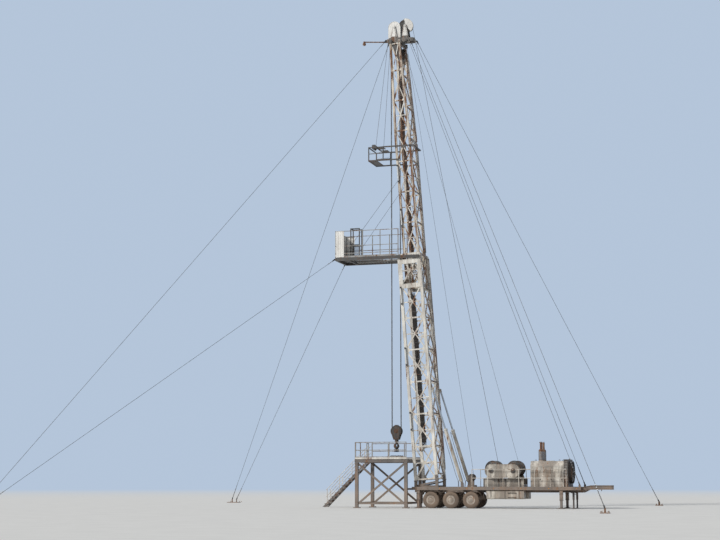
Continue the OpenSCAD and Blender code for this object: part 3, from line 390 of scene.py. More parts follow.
def shell(name, inner, values, metallic=0.0, relief=0.4, reach=0.01, tread=0.0, coat=0.0):
    # one material: a shared group feeds a Principled shader of its own
    material = bpy.data.materials.new(name)
    material.use_nodes = True
    tree = material.node_tree
    shader = tree.nodes["Principled BSDF"]
    node = put(tree, "Group", node_tree=inner)
    for key, value in values:
        node.inputs[key].default_value = value if isinstance(value, float) else (*value, 1)
    height = node.outputs["Height"]
    if tread:
        lozenges = put(tree, "Group", node_tree=treadPlate)
        lozenges.inputs["Pitch"].default_value = tread
        height = maths(tree, "ADD", maths(tree, "MULTIPLY", height, 0.3), lozenges.outputs[0])
    bump = put(tree, "Bump", {"Strength": relief, "Distance": reach, "Height": height})
    tree.links.new(node.outputs["Color"], shader.inputs["Base Color"])
    tree.links.new(node.outputs["Roughness"], shader.inputs["Roughness"])
    tree.links.new(bump.outputs[0], shader.inputs["Normal"])
    shader.inputs["Metallic"].default_value = metallic
    shader.inputs["Coat Weight"].default_value = coat
    return material


def painted(name, *values, **more):
    return shell(name, weathering, zip(paintLabels, values), **more)


def metal(name, *values, **more):
    return shell(name, bareMetal, zip(metalLabels, values), **more)


# values in the order of paintLabels and metalLabels
rustTone, ruddy = (0.215, 0.098, 0.045), (0.17, 0.08, 0.04)
mastTone, mastFaded = (0.82, 0.81, 0.765), (0.72, 0.695, 0.63)
finishes = {
    "mast_paint": painted("mastPaint", mastTone, mastFaded, rustTone, (0.17, 0.145, 0.12),
                          0.32, 0.55, 0.5, 0.5, 0.46),
    "guard_paint": painted("guardPaint", (0.86, 0.85, 0.815), (0.76, 0.745, 0.7), rustTone,
                           (0.25, 0.22, 0.19), 0.1, 0.8, 0.35, 0.3, 0.42),
    "dark_paint": painted("darkPaint", (0.035, 0.036, 0.038), (0.07, 0.07, 0.068),
                          (0.13, 0.062, 0.032), (0.02, 0.018, 0.016), 0.3, 0.6, 0.4, 0.3, 0.5),
    "board_paint": painted("boardPaint", (0.40, 0.41, 0.405), (0.31, 0.315, 0.31), rustTone,
                           (0.09, 0.08, 0.07), 0.34, 0.8, 0.5, 0.3, 0.5),
    "panel_sheet": painted("panelSheet", (0.88, 0.875, 0.85), (0.79, 0.78, 0.75), rustTone,
                           (0.34, 0.3, 0.26), 0.08, 0.35, 0.4, 0.2, 0.38),
    "trailer_paint": painted("trailerPaint", (0.085, 0.09, 0.098), (0.125, 0.128, 0.13), ruddy,
                             (0.035, 0.03, 0.027), 0.24, 1.2, 0.5, 0.9, 0.5),
    "machine_paint": painted("machinePaint", (0.78, 0.765, 0.71), (0.69, 0.66, 0.59), rustTone,
                             (0.05, 0.042, 0.035), 0.2, 1.0, 0.75, 0.65, 0.4, coat=0.1),
    "deck_plate": metal("deckPlate", (0.27, 0.268, 0.26), (0.05, 0.045, 0.04), (0.2, 0.1, 0.055),
                        0.45, 0.45, 22.0, 0.42, metallic=0.6, relief=0.8, tread=0.075),
    "wire_rope": metal("wireRope", (0.17, 0.165, 0.155), (0.03, 0.027, 0.024), (0.13, 0.07, 0.04),
                       0.6, 0.25, 90.0, 0.45, metallic=0.7),
    "sheave_iron": metal("sheaveIron", (0.15, 0.147, 0.14), (0.022, 0.02, 0.018),
                         (0.14, 0.07, 0.038), 0.7, 0.3, 40.0, 0.42, metallic=0.75),
    "drum_iron": metal("drumIron", (0.19, 0.185, 0.175), (0.025, 0.022, 0.02),
                       (0.17, 0.085, 0.045), 0.6, 0.4, 30.0, 0.4, metallic=0.7),
    "block_paint": painted("blockPaint", (0.042, 0.042, 0.044), (0.075, 0.072, 0.068),
                           (0.15, 0.075, 0.038), (0.015, 0.014, 0.012), 0.28, 1.5, 0.6, 0.25, 0.42),
    "rusty_steel": painted("rustySteel", (0.25, 0.14, 0.085), (0.31, 0.2, 0.135),
                           (0.15, 0.065, 0.032), (0.06, 0.045, 0.035), 0.6, 2.0, 0.5, 0.5, 0.6),
    "ram_steel": painted("ramSteel", (0.76, 0.745, 0.695), (0.66, 0.635, 0.565), rustTone,
                         (0.06, 0.05, 0.04), 0.22, 1.0, 0.6, 0.5, 0.4),
    "lamp_housing": painted("lampHousing", (0.05, 0.051, 0.053), (0.09, 0.09, 0.088),
                            (0.14, 0.07, 0.035), (0.02, 0.018, 0.016), 0.12, 2.0, 0.4, 0.2, 0.45),
    "tyre_rubber": painted("tyreRubber", (0.028, 0.028, 0.029), (0.05, 0.049, 0.047),
                           (0.06, 0.045, 0.035), (0.09, 0.065, 0.048), 0.1, 3.0, 0.5, 0.7, 0.72,
                           reach=0.004),
}
chrome = metal("ramRod", (0.62, 0.62, 0.61), (0.12, 0.11, 0.1), (0.3, 0.2, 0.13),
               0.25, 0.08, 60.0, 0.14, metallic=1.0, relief=0.08)
galvanised = metal("galvanised", (0.46, 0.47, 0.475), (0.16, 0.155, 0.15), (0.24, 0.14, 0.085),
                   0.35, 0.3, 26.0, 0.4, metallic=0.75)
lampGlass = metal("lampGlass", (0.72, 0.74, 0.74), (0.5, 0.49, 0.46), (0.45, 0.4, 0.33),
                  0.3, 0.05, 12.0, 0.1, relief=0.05, coat=0.5)
redLens = metal("redLens", (0.42, 0.02, 0.015), (0.2, 0.03, 0.02), (0.2, 0.06, 0.03),
                0.3, 0.05, 35.0, 0.16, relief=0.1, coat=0.4)
amberLens = metal("amberLens", (0.62, 0.24, 0.02), (0.3, 0.14, 0.03), (0.25, 0.12, 0.04),
                  0.3, 0.05, 35.0, 0.16, relief=0.1, coat=0.4)
hoseRubber = painted("hoseRubber", (0.025, 0.025, 0.026), (0.045, 0.044, 0.043),
                     (0.06, 0.045, 0.035), (0.07, 0.055, 0.045), 0.1, 3.0, 0.4, 0.6, 0.55,
                     reach=0.002)

# the same paint where years of rain and sun have marked it more on the upper section; on the back
# panels and ladders it is darkened with near-black grime as painted shade, and on the crown frame
# the near-black grime is rope grease and painted shade
upperPaint = painted("mastPaintUpper", (0.80, 0.765, 0.68), (0.66, 0.59, 0.48),
                     (0.2, 0.085, 0.035), (0.17, 0.145, 0.12), 0.52, 0.42, 0.5, 0.5, 0.46)
# painted shade on the back panels and ladders: near-black grime over most of the paint, with more
# rust
shadedBackPaint = painted("mastPaintBackShaded", mastTone, mastFaded, rustTone, (0.05, 0.043, 0.037),
                    0.5, 0.55, 0.82, 0.5, 0.46)
# rope grease and painted shade on the crown frame: near-black grime over nearly all of the paint
crownGreaseAndShadePaint = painted("mastPaintCrownGreaseAndShade", mastTone, mastFaded, rustTone, (0.032, 0.028, 0.024),
                     0.3, 0.55, 0.95, 0.5, 0.46)
wornAndShadedNodes = {"upper_mast_near_side": upperPaint, "upper_mast_far_side": upperPaint,
             "upper_mast_back": shadedBackPaint, "lower_mast_back": shadedBackPaint, "mast_ladders": shadedBackPaint,
             "crown_frame": crownGreaseAndShadePaint}

slotOf = {row.get("node", row.get("name")): row.get("material_slot", row.get("material"))
          for row in frame["record"]["subparts"]}
for name, node in frame["nodes"].items():
    for socket in node.material_slots:
        socket.material = wornAndShadedNodes.get(name, finishes[slotOf[name]])
print("finishes made:", len(bpy.data.materials))


def makeMastDetail():
    look = {"gusset": 0.24, "thick": 0.012, "strut": 0.065, "boltSize": 0.02, "face": 0.03,
            "upGusset": 0.18, "upThick": 0.01, "upStrut": 0.045}
    plates, bolts = meshes(2)
    inner = mast["lowDepth"] - mast["lowLeg"]

    def gusset(side, face, edge, reach, s, low, high, tip, thick):
        corners = ((edge, -low), (edge, high), (edge - reach, tip), (edge - reach, -0.04))
        mastPlate(plates, [(d, face, s + h) for d, h in corners], (0, side, 0), thick)

    for side in both:
        y = side * mast["lowSide"]
        face = y + side * look["face"]
        for k in range(mast["bays"] + 1):
            s = 0.05 + k * mast["lowBay"]
            low = min(look["gusset"], s - 0.01)
            high = min(look["gusset"], mast["lowLen"] - s - 0.02)
            for sign in both:
                gusset(side, face, sign * inner, sign * 0.2, s, low, high, 0.05, look["thick"])
            if k < mast["bays"]:
                mid = s + mast["lowBay"] / 2
                strut = look["strut"]
                bar(plates, onMast(-inner, y, mid), onMast(inner, y, mid), strut, strut)
                sign = 1 if k % 2 == 0 else -1
                for part, rise in ((-sign, mast["lowBay"] - 0.06), (sign, 0.06)):
                    bar(plates, onMast(0, y, mid), onMast(part * inner, y, s + rise),
                        strut, strut * 0.8)
        for s in (mast["lowLen"] - 0.09, mast["lowLen"] - 0.09 - mast["lowBay"]):  # collar bolts
            for j in range(7):
                bolt(bolts, onMast(-0.5 + j / 6, face, s), (0, side, 0), look["boltSize"])
    last = mast["length"] - 0.05
    for side in both:
        y = side * mast["upSide"]
        face = y + side * look["face"]
        for k in range(9):
            s = min(mast["upStart"] + 0.11 + 0.05 + k * mast["upBay"], last)
            high = min(look["upGusset"], mast["length"] - s - 0.01)
            for edge, sign in zip(upEdges(s), both):
                gusset(side, face, edge, sign * 0.13, s, 0.045, high, 0.04, look["upThick"])
            if k < 6:
                mid = s + mast["upBay"] / 2
                front, rear = upEdges(mid)
                bar(plates, onMast(front, y, mid), onMast(rear, y, mid),
                    look["upStrut"], look["upStrut"])
            if k < 8:  # light counter-diagonals
                t = min(s + mast["upBay"], last)
                turn = 1 if k % 2 == 0 else 0
                bar(plates, onMast(upEdges(s)[turn], y, s + 0.06),
                    onMast(upEdges(t)[1 - turn], y, t - 0.06), 0.06, 0.04)
    piece("mastGussets", plates, "mast_paint", bevel=pressed)
    piece("mastCollarBolts", bolts, "rusty_steel")


def makeCollarPlates():
    # doubler plates round the bay where the upper section locks into the lower one
    look = {"thick": 0.01, "wide": 0.285, "low": 12.47, "high": 14.38, "chord": 0.3, "edge": 0.045,
            "boltPitch": 0.21, "boltSize": 0.013}
    plates, bolts = meshes(2)
    thick, low, high, edge = (look[key] for key in ("thick", "low", "high", "edge"))
    outer = mast["lowDepth"] + mast["lowLeg"]
    inner = outer - look["wide"]
    spans = ((-outer, -inner, low, high), (inner, outer, low, high),
             (-inner, inner, low, low + look["chord"]), (-inner, inner, high - look["chord"], high))
    for side in both:
        y = side * (mast["lowSide"] + mast["lowLeg"] + thick / 2 + 0.001)
        for d0, d1, s0, s1 in spans:
            mastPlate(plates, [(d0, y, s0), (d1, y, s0), (d1, y, s1), (d0, y, s1)],
                      (0, side, 0), thick)
            count = max(3, round((s1 - s0) / look["boltPitch"]))
            for k, d in product(range(count), (d0 + edge, d1 - edge)):
                s = s0 + edge + (s1 - s0 - 2 * edge) * k / (count - 1)
                bolt(bolts, onMast(d, y + side * thick / 2, s), (0, side, 0), look["boltSize"])
    piece("collarPlates", plates, "mast_paint", bevel=pressed)
    piece("collarPlateBolts", bolts, "rusty_steel")


def makeServiceTrays():
    # dark hose trays inside the far side panels
    look = {"lowFrom": 2.45, "lowTo": 12.2, "upFrom": 15.0, "upTo": 28.4, "clamp": 1.05,
            "hose": 0.026, "sheet": 0.006, "start": -0.6, "offLeg": 0.085}
    trays, rusty, hoses = meshes(3)

    def tray(bm, path, wide, y, deep, clampY):
        sheet = look["sheet"]
        for (d0, s0), (d1, s1) in zip(path, path[1:]):
            bar(bm, onMast(d0 + wide / 2, y, s0), onMast(d1 + wide / 2, y, s1), wide, sheet)
            for edge in (0.003, wide - 0.003):
                bar(bm, onMast(d0 + edge, y - deep / 2, s0), onMast(d1 + edge, y - deep / 2, s1),
                    sheet, deep)
        for (d0, s0), (d1, s1) in zip(path, path[1:]):
            s = s0 + 0.3
            while s < s1:
                d = d0 + (d1 - d0) * (s - s0) / (s1 - s0)
                bar(bm, onMast(d, clampY, s), onMast(d + wide, clampY, s), 0.05, 0.014)
                s += look["clamp"]

    low, high = look["lowFrom"], look["lowTo"]
    tray(trays, [(look["start"], low), (look["start"], high)], 0.3, 0.966, 0.05, 0.912)
    for k in range(4):
        ends = [onMast(-0.56 + 0.073 * k, 0.938, s) for s in (low - 0.3, high + 0.2)]
        tube(hoses, ends, look["hose"] * (1.0 if k % 2 else 0.8), 10)
    start, end = (mast["upFront"] + inward + look["offLeg"] for inward in (0, mast["frontIn"]))
    end -= mast["frontIn"] * (mast["length"] - look["upTo"]) / mast["taper"]
    up = [(start, look["upFrom"]), (start, mast["knee"]), (end, look["upTo"])]
    tray(rusty, up, 0.17, 0.766, 0.03, 0.735)
    for k in range(2):
        tube(hoses, [onMast(d + 0.055 + 0.06 * k, 0.748, s) for d, s in up], look["hose"] * 0.65, 8)
    piece("serviceTrays", trays, "dark_paint")
    piece("upperServiceTray", rusty, "rusty_steel")
    piece("serviceHoses", hoses, "tyre_rubber", hoseRubber)


def makeMastBackDetail():
    look = {"thick": 0.01, "reach": 0.16, "offDepth": 0.08}
    bm = bmesh.new()
    d, r = mast["lowDepth"] + look["offDepth"], look["reach"]
    out = onMast(1, 0, 0) - onMast(0, 0, 0)
    for k in range(mast["bays"]):  # gussets where the back braces cross
        s = 0.05 + (k + 0.5) * mast["lowBay"]
        mastPlate(bm, [(d, -r, s), (d, 0, s + r), (d, r, s), (d, 0, s - r)], out, look["thick"])
        t = 0.05 + k * mast["lowBay"]
        for y in both if k else ():
            mastPlate(bm, [(d, y * 0.91, t - 0.2), (d, y * 0.91, t + 0.2), (d, y * 0.7, t + 0.05),
                           (d, y * 0.7, t - 0.05)], out, look["thick"])
    for k in range(1, 8):  # light cross members behind the upper legs, clear of the pawls
        s = mast["upStart"] + 0.16 + (k + 0.5) * mast["upBay"]
        if s < mast["knee"] - 0.3 and not 14.2 < s < 15.1:
            d = mast["upBack"] + 0.03
            bar(bm, onMast(d, -0.73, s), onMast(d, 0.73, s), 0.05, 0.04, zAxis)
    # the back gussets take the back panels' painted shade
    piece("mastBackGussets", bm, "mast_paint", shadedBackPaint, bevel=pressed)


def makeMastRuns():
    # conduit with its clips, and lamps along the legs
    look = {"conduit": 0.021, "clip": 1.05, "lampLength": 1.2, "offLeg": 0.085, "tube": 0.038}
    bm = bmesh.new()
    r = look["conduit"]
    d = mast["lowDepth"] + mast["lowLeg"] + r
    tube(bm, [onMast(d, 1.03, 0.6), onMast(d, 1.03, 14.6)], r, 10)
    tube(bm, [onMast(d, 0.97, 0.6), onMast(d, 0.97, 9.2)], r * 0.7, 8)
    s = 0.9
    while s < 14.5:
        boxAt(bm, onMast(d - 0.004, 1.0, s), (0.05, 0.15, 0.04))
        s += look["clip"]
    piece("mastConduit", bm, "ram_steel", galvanised)
    ends, glass, arms = meshes(3)
    up = onMast(0, 0, 1) - onMast(0, 0, 0)
    rows = [(-mast["lowDepth"], 1.09, s) for s in (3.2, 7.4, 11.4)]
    rows += [(mast["upFront"], 0.87, s) for s in (16.6, 19.6)]
    for (d, y, s), side in product(rows, both):
        a = onMast(d, side * (y + look["offLeg"]), s)
        b = a + up * look["lampLength"]
        tube(glass, [a + up * 0.09, b - up * 0.09], look["tube"], 14)
        for p, way in ((a, 1), (b, -1)):
            lathe(ends, p, up * way, ((0.03, 0), (0.052, 0.012), (0.055, 0.1), (0.042, 0.12)), 14)
        behind = Vector((0, -side * 0.046, 0))
        bar(ends, a + behind, b + behind, 0.06, 0.012)
        for t in (0.2, 1.0):
            boxAt(arms, a + up * t - Vector((0, side * 0.06, 0)), (0.04, 0.04, 0.04))
    piece("mastLampEnds", ends, "lamp_housing")
    piece("mastLampTubes", glass, "lamp_housing", lampGlass)
    piece("mastLampArms", arms, "dark_paint")


def makePawlDetail():
    bm = bmesh.new()
    start = mast["upStart"]
    for side in both:
        for d, y in ((mast["upFront"], 0.93), (mast["upBack"], 0.86)):
            disc(bm, onMast(d, side * (y - 0.02), start + 0.04), (0, side, 0), 0.038, 0.1, 16)
        for s, d in product((start + 0.38, mast["lowLen"] - 0.27), (-0.6, -0.42)):
            bolt(bm, onMast(d + 0.07, side * 0.97, s), (0, side, 0), 0.02)
    piece("pawlPins", bm, "rusty_steel")


makeMastDetail()
makeCollarPlates()
makeServiceTrays()
makeMastBackDetail()
makeMastRuns()
makePawlDetail()
print("mast dressed")


def makeCrownDetail():
    look = {"capR": 0.085, "capBolts": 6, "cap": 0.34, "bracket": 0.31, "seats": (31.39, 31.46),
            "rollR": 0.011, "hoseR": 0.008}
    bolts, caps, hoses, rolls = meshes(4)
    for x, z in shafts:
        for side in both:
            at, out = Vector((x, side * look["cap"], z)), (0, side, 0)
            r = look["capR"]
            lathe(caps, at, out, ((r, -0.03), (r, 0.0), (0.07, 0.008), (0.02, 0.01)), 24)
            boltRing(bolts, at + Vector((0, side * 0.004, 0)), out, 0.055, look["capBolts"], 0.009)
            face = side * look["bracket"]
            boltRing(bolts, Vector((x, face, z - 0.34)), out, 0.11, 4, 0.016, pi / 4)
            boltGrid(bolts, (x - 0.18, x + 0.18), [face], look["seats"], out, 0.014)
        hose = [(x, -0.352, z), (x + 0.02, -0.4, z - 0.02), (x + 0.1, -0.4, z - 0.4),
                (x + 0.12, -0.36, 31.42)]
        tube(hoses, bend(hose, 6), look["hoseR"], 8)
    for x, side in product((crown["fastX"] - 0.62, -0.42), both):
        boltGrid(bolts, [x + 0.18 * k for k in range(4)], [side * look["cap"]],
                 [crown["railMid"] - 0.03], (0, side, 0), 0.015)
    # rolled edges and stiffeners: edge radius, its two ends, reach and angles of the stiffeners
    guards = (((-0.2565, 0.2565), 0.418, 0.0, pi, 0.1, 0.4, (0.35, 0.85, 1.57, 2.29, 2.79)),
              ((crown["fastY"] - 0.083, crown["fastY"] + 0.083), 0.52, -0.6, 1.85, 0.11, 0.5,
               (-0.3, 0.3, 0.9, 1.5)))
    for (x, z), (ys, r, start, end, near, far, stays) in zip(shafts, guards):
        for y in ys:
            tube(rolls, arc(x, y, z, r, start, end, 28), look["rollR"], 8)
            for c, s in ((cos(a), sin(a)) for a in stays):
                bar(rolls, (x + near * c, y, z + near * s), (x + far * c, y, z + far * s),
                    0.03, 0.008)
    piece("crownShaftCaps", caps, "guard_paint")
    piece("crownBolts", bolts, "rusty_steel")
    piece("crownGreaseHoses", hoses, "tyre_rubber", hoseRubber)
    piece("guardRolls", rolls, "guard_paint")
    beacon, lens = meshes(2)
    x, y, z = -0.46, 0.28, crown["railTop"]
    tube(beacon, [(x, y, z), (x, y, z + 0.22)], 0.016, 10)
    lathe(beacon, (x, y, z + 0.2), zAxis, ((0.06, 0), (0.065, 0.015), (0.05, 0.05)), 18)
    lathe(lens, (x, y, z + 0.25), zAxis,
          ((0.05, 0), (0.052, 0.05), (0.045, 0.09), (0.025, 0.115), (0.005, 0.122)), 18)
    piece("crownBeaconBase", beacon, "ram_steel", galvanised)
    piece("crownBeaconLens", lens, "lamp_housing", redLens)


def makeCrownKnees():
    # knee plates on the inside of the top bay and the yokes of the winch line sheaves, both in dark
    # paint as painted shade under the crown; winch line sheaves in those yokes, bracket covers
    look = {"top": 29.14, "foot": 28.02, "thick": 0.01, "sheave": 0.15, "yokeX": 0.17,
            "yokeHigh": 0.72, "drop": 0.5, "kneeY": 0.762, "cover": 0.3135, "coverThick": 0.006}
    shadeKnees, wheels, covers, bolts = meshes(4)
    front, rear = upEdges(mast["knee"] + mast["taper"])
    under, x = crown["railMid"] - 0.12, look["yokeX"]
    half = ((0.19, -0.3), (0.17, -0.6), (0.06, -look["yokeHigh"]))
    yoke = [(-0.15, 0.0), (0.15, 0.0), *half, *((-a, b) for a, b in reversed(half))]
    r, groove = look["sheave"], look["sheave"] - 0.03
    for side in both:
        y = side * look["kneeY"]
        # painted shade: a dark sheet inside the top bay where the crown's shadow falls
        mastPlate(shadeKnees, [(front, y, look["top"]), (rear, y, look["top"]),
                          (rear + 0.03, y, look["foot"]), (rear - 0.12, y, look["foot"])],
                  (0, side, 0), look["thick"])
        y = side * crown["railY"]
        # yoke cheeks in dark paint, as painted shade under the crown
        for face in (y - 0.045, y + 0.045):
            plate(shadeKnees, [(x + a, face, under + b) for a, b in yoke], yAxis, 0.012)
        lathe(wheels, (x, y - 0.032, under - look["drop"]), yAxis,
              ((0.03, 0), (r, 0), (r, 0.012), (groove, 0.026), (groove, 0.038), (r, 0.052),
               (r, 0.064), (0.03, 0.064)), 32)
        disc(wheels, (x, y - 0.075, under - look["drop"]), yAxis, 0.028, 0.15, 14)
    base = crown["railTop"] + 0.16
    for (x, z), side in product(shafts, both):
        half = ((0.19, base), (0.088, z - 0.05), (0.05, z + 0.075))
        outline = [(-0.19, base), *half, *((-a, b) for a, b in half[:0:-1])]
        plate(covers, [(x + a, side * look["cover"], b) for a, b in outline],
              (0, side, 0), look["coverThick"])
        for a, b in ((-0.15, 0.05), (0.15, 0.05), (-0.1, 0.28), (0.1, 0.28)):
            bolt(bolts, (x + a, side * (look["cover"] + 0.003), base + b), (0, side, 0), 0.01)
    piece("crownKneesPaintedShade", shadeKnees, "dark_paint")
    piece("winchSheaves", wheels, "sheave_iron")
    piece("bracketCovers", covers, "guard_paint")
    piece("bracketCoverBolts", bolts, "rusty_steel")


def makeSheaveDetail():
    # spoke ribs and hub bolts that show the sheaves turning
    look = {"ribs": 6, "face": 0.022, "hub": 0.105, "rim": 0.062, "boltR": 0.135}
    rows = (("crownSheaveRibs", "crown_sheaves", 0, (-0.045, 0.045, 0.135), crown["z"], 0.305),
            ("fastSheaveRibs", "fast_line_sheave", crown["fastX"], (crown["fastY"],),
             crown["fastZ"], 0.457),
            ("blockSheaveRibs", "block_sheaves", 0, (-0.09, 0, 0.09), block["z"], 0.305))
    for name, body, x, ys, z, radius in rows:
        bm = bmesh.new()
        for y, side in product(ys, both):
            at = Vector((x, y + side * look["face"], z))
            for k in range(look["ribs"]):
                a = pi * k / 3
                w = Vector((cos(a), 0, sin(a)))
                bar(bm, at + w * look["hub"], at + w * (radius - look["rim"]), 0.024, 0.012)
            boltRing(bm, at, (0, side, 0), look["boltR"], 6, 0.008, pi / 6)
        piece(name, bm, "sheave_iron", body=body)


makeCrownDetail()
makeCrownKnees()
makeSheaveDetail()
print("crown dressed")


def makeRopes():
    r, s, pitch, end = line["r"], crown["sheave"], crown["pitch"], line["end"]
    top, low = crown["z"] - end, block["z"] + end

    def laid(name, runs, body, node, turns=6):
        bm = bmesh.new()
        for points in runs:
            rope(bm, points, turns)
        return piece(name, bm, "wire_rope", body=body, replaces=(node,), smooth=60)

    runs = [[(s, crown["fastY"], crown["fastZ"] - end), (s, -pitch, low)]]
    for k in range(3):
        y = (k - 0.5) * pitch
        runs.append([(-s, y, top), (-s, (k - 1) * pitch, low)])
        if k < 2:
            runs.append([(s, y, top), (s, k * pitch, low)])
    falls = laid("ropeFalls", runs, "travelling_block", "drilling_lines")
    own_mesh(falls)
    laid("ropeBlockWraps", [arc(0, (k - 1) * pitch, block["z"], s, pi, 2 * pi) for k in range(3)],
         "travelling_block", "block_rope_wraps", 12)
    fastX, fastY, fastZ, fastR = (crown[key] for key in ("fastX", "fastY", "fastZ", "fastR"))
    vx, vz = trailer["drumX"] - fastX, trailer["drumZ"] - fastZ
    off = 0.3 + r + end  # radius of the rope's middle on the drum
    a = atan2(vz, vx) + acos((fastR - off) / sqrt(vx * vx + vz * vz))
    runs = [arc(0, (k - 0.5) * pitch, crown["z"], s, 0, pi) for k in range(3)]
    laid("ropeCrownWraps", runs + [arc(fastX, fastY, fastZ, fastR, a, pi)], "root",
         "crown_rope_wraps", 12)
    drum = (trailer["drumX"] + off * cos(a), -0.06, trailer["drumZ"] + off * sin(a))
    laid("ropeFastLine", [[(fastX + fastR * cos(a), fastY, fastZ + fastR * sin(a)), drum]],
         "root", "fast_line")
    anchor = onMast(-mast["lowDepth"], 0.91, 2.1) - Vector((0.15 + r + end, r + 0.04, 0))
    laid("ropeDeadLine", [[(s, 1.5 * pitch, top), anchor]], "root", "dead_line")


def makeDrumRope():
    # rope laid turn by turn on each drum, as one ribbed sleeve
    look = {"half": 0.519, "laid": 0.301, "step": 5}
    bm = bmesh.new()
    half, laid = look["half"], look["laid"]
    for x, wire in ((trailer["drumX"], 0.0135), (trailer["sandX"], 0.0105)):
        profile = [(laid - 0.002, -half)]
        for k, j in product(range(int(2 * half / (2 * wire))), range(look["step"])):
            t = pi * (0.1 + 0.8 * j / (look["step"] - 1))
            centre = -half + wire * (2 * k + 1)
            profile.append((laid + wire * sin(t) * 1.6, centre - wire * cos(t)))
        lathe(bm, (x, 0, trailer["drumZ"]), yAxis, profile + [(laid - 0.002, half)], 40)
    piece("ropeOnDrums", bm, "wire_rope")


makeRopes()
makeDrumRope()
print("ropes laid")


def makeGuyFittings():
    # clips and turned back tails at both ends of each guy, and collars at its foot
    look = {"clips": 3, "clipGap": 0.16, "collars": 4, "tailR": 0.011}
    rows = [((-0.57, 0.38, 31.24), (-19.2, 19.3, 0.26)), ((1.42, 0.38, 31.24), (15.4, 13.7, 0.26)),
            ((-3.92, 1.15, 16.3), (-18.9, 19.5, 0.26)), ((1.0, 0.42, 31.24), (12.1, 1.1, 1.48))]
    bm = bmesh.new()
    for (p, q), side in product(rows, (1, -1)):
        a, b = (Vector((x, y * side, z)) for x, y, z in (p, q))
        for one, two, start in ((a, b, 0.24), (b, a, 1.16)):
            z = (two - one).normalized()
            t = across(z)
            for k in range(look["clips"]):
                at = one + z * (start + look["clipGap"] * k)
                bar(bm, at - z * 0.017, at + z * 0.017, 0.055, 0.034)
                for j in both:
                    disc(bm, at + z.cross(t) * 0.019 * j + t * 0.014, t, 0.008, 0.022, 6)
            tube(bm, [one + z * start * 0.9 + t * 0.022, one + z * (start + 0.4) + t * 0.022],
                 look["tailR"], 8)
        z = (a - b).normalized()
        for k in range(look["collars"]):
            lathe(bm, b + z * (0.2 + 0.22 * k), z,
                  ((0.0235, 0), (0.03, 0.01), (0.03, 0.03), (0.0235, 0.04)), 10)
    piece("guyClips", bm, "wire_rope", galvanised)
    stakes = bmesh.new()
    for (x, y, wide), side in product(((-18.9, 19.4, 0.38), (15.4, 13.7, 0.19)), both):
        for dx, dy in product((-wide, wide), (-0.2, 0.2)):
            lathe(stakes, (x + dx, side * (y + dy), 0.036), zAxis,
                  ((0.016, 0), (0.016, 0.06), (0.034, 0.065), (0.036, 0.08), (0.02, 0.09)), 12)
    piece("anchorStakes", stakes, "rusty_steel")


makeGuyFittings()
print("guys fitted")


def grating(bm, x0, x1, y0, y1, top, deep=0.035, pitch=0.045, cross=0.16):
    count = max(1, int((y1 - y0) / pitch))
    for y in (y0 + (y1 - y0) * k / count for k in range(count + 1)):
        box(bm, (x0, y - 0.0035, top - deep), (x1, y + 0.0035, top))
    count = max(1, int((x1 - x0) / cross))
    for x in (x0 + (x1 - x0) * k / count for k in range(count + 1)):
        box(bm, (x - 0.004, y0, top - 0.009), (x + 0.004, y1, top + 0.001))


def makeBasketDetail():
    look = {"floor": 22.95, "beam": 23.8, "face": 0.951, "chainSag": 0.09, "links": 20}
    bm = bmesh.new()
    grating(bm, -1.62, -1.12, -0.86, 0.86, look["floor"], 0.028, 0.035, 0.1)
    piece("basketGrating", bm, "board_paint", galvanised)
    bolts, chains = meshes(2)
    for side in both:
        for k, y in product(range(11), (0.25, 0.45, 0.65)):  # rod hooks along the fingers
            disc(bolts, (-1.06 + 0.038 * k, side * y - 0.02, 23.825), yAxis, 0.006, 0.04, 6)
        face, out = [side * look["face"]], (0, side, 0)
        boltGrid(bolts, (-1.62, -1.0, -0.62), face, (look["beam"], 22.92), out, 0.014)
        boltGrid(bolts, (-0.35, 0.1, 0.55, 1.0), face, [look["beam"]], out, 0.016)
    boltGrid(bolts, [1.501], [-0.72 + 0.36 * k for k in range(5)], [look["beam"]], xAxis, 0.016)
    piece("basketBolts", bolts, "rusty_steel")
    for side in both:  # sagging safety chains
        a, b = (Vector((x, side * 0.9, 23.5)) for x in (-1.6, -0.66))
        count = look["links"]
        pts = [a.lerp(b, k / count) - Vector((0, 0, look["chainSag"] * (1 - (k / 10 - 1) ** 2)))
               for k in range(count + 1)]
        for k, (p, q) in enumerate(zip(pts, pts[1:])):
            bar(chains, p, q + (q - p) * 0.15, *((0.018, 0.006) if k % 2 else (0.006, 0.018)))
    piece("basketChains", chains, "wire_rope", galvanised)


def makeFloodlight():
    look = {"x": -1.47, "z": 23.826, "fins": 10, "yokeY": 0.24}
    x, z, y = look["x"], look["z"], look["yokeY"]
    bm, lenses = meshes(2)
    for side in both:  # yoke
        bar(bm, (x, side * y, z), (x, side * y, z + 0.2), 0.05, 0.012)
    box(bm, (x - 0.05, -0.246, z), (x + 0.05, 0.246, z + 0.012))
    lathe(bm, (x, -0.25, z + 0.19), yAxis,
          ((0.012, 0), (0.022, 0.01), (0.022, 0.03), (0.012, 0.04)), 12)
    housing = ((-0.14, 0.06), (-0.145, 0.28), (-0.1, 0.325), (0.08, 0.325), (0.14, 0.25),
               (0.14, 0.12), (0.06, 0.055))
    plate(bm, [(x + a, -0.225, z + b) for a, b in housing], yAxis, 0.45)
    fin = ((-0.06, 0.326), (0.06, 0.326), (0.145, 0.245), (0.145, 0.2), (-0.06, 0.31))
    for k in range(look["fins"]):
        y = -0.2 + 0.4 * k / (look["fins"] - 1)
        plate(bm, [(x + a, y - 0.004, z + b) for a, b in fin], yAxis, 0.008)
    piece("floodlightBody", bm, "lamp_housing", replaces=("basket_floodlight",), bevel=0.004)
    for y in (-0.11, 0.11):
        lathe(lenses, (x - 0.1435, y, z + 0.17), (-1, 0, 0),
              ((0.085, -0.004), (0.085, 0.002), (0.05, 0.005), (0.01, 0.006)), 24)
    piece("floodlightLenses", lenses, "lamp_housing", lampGlass)


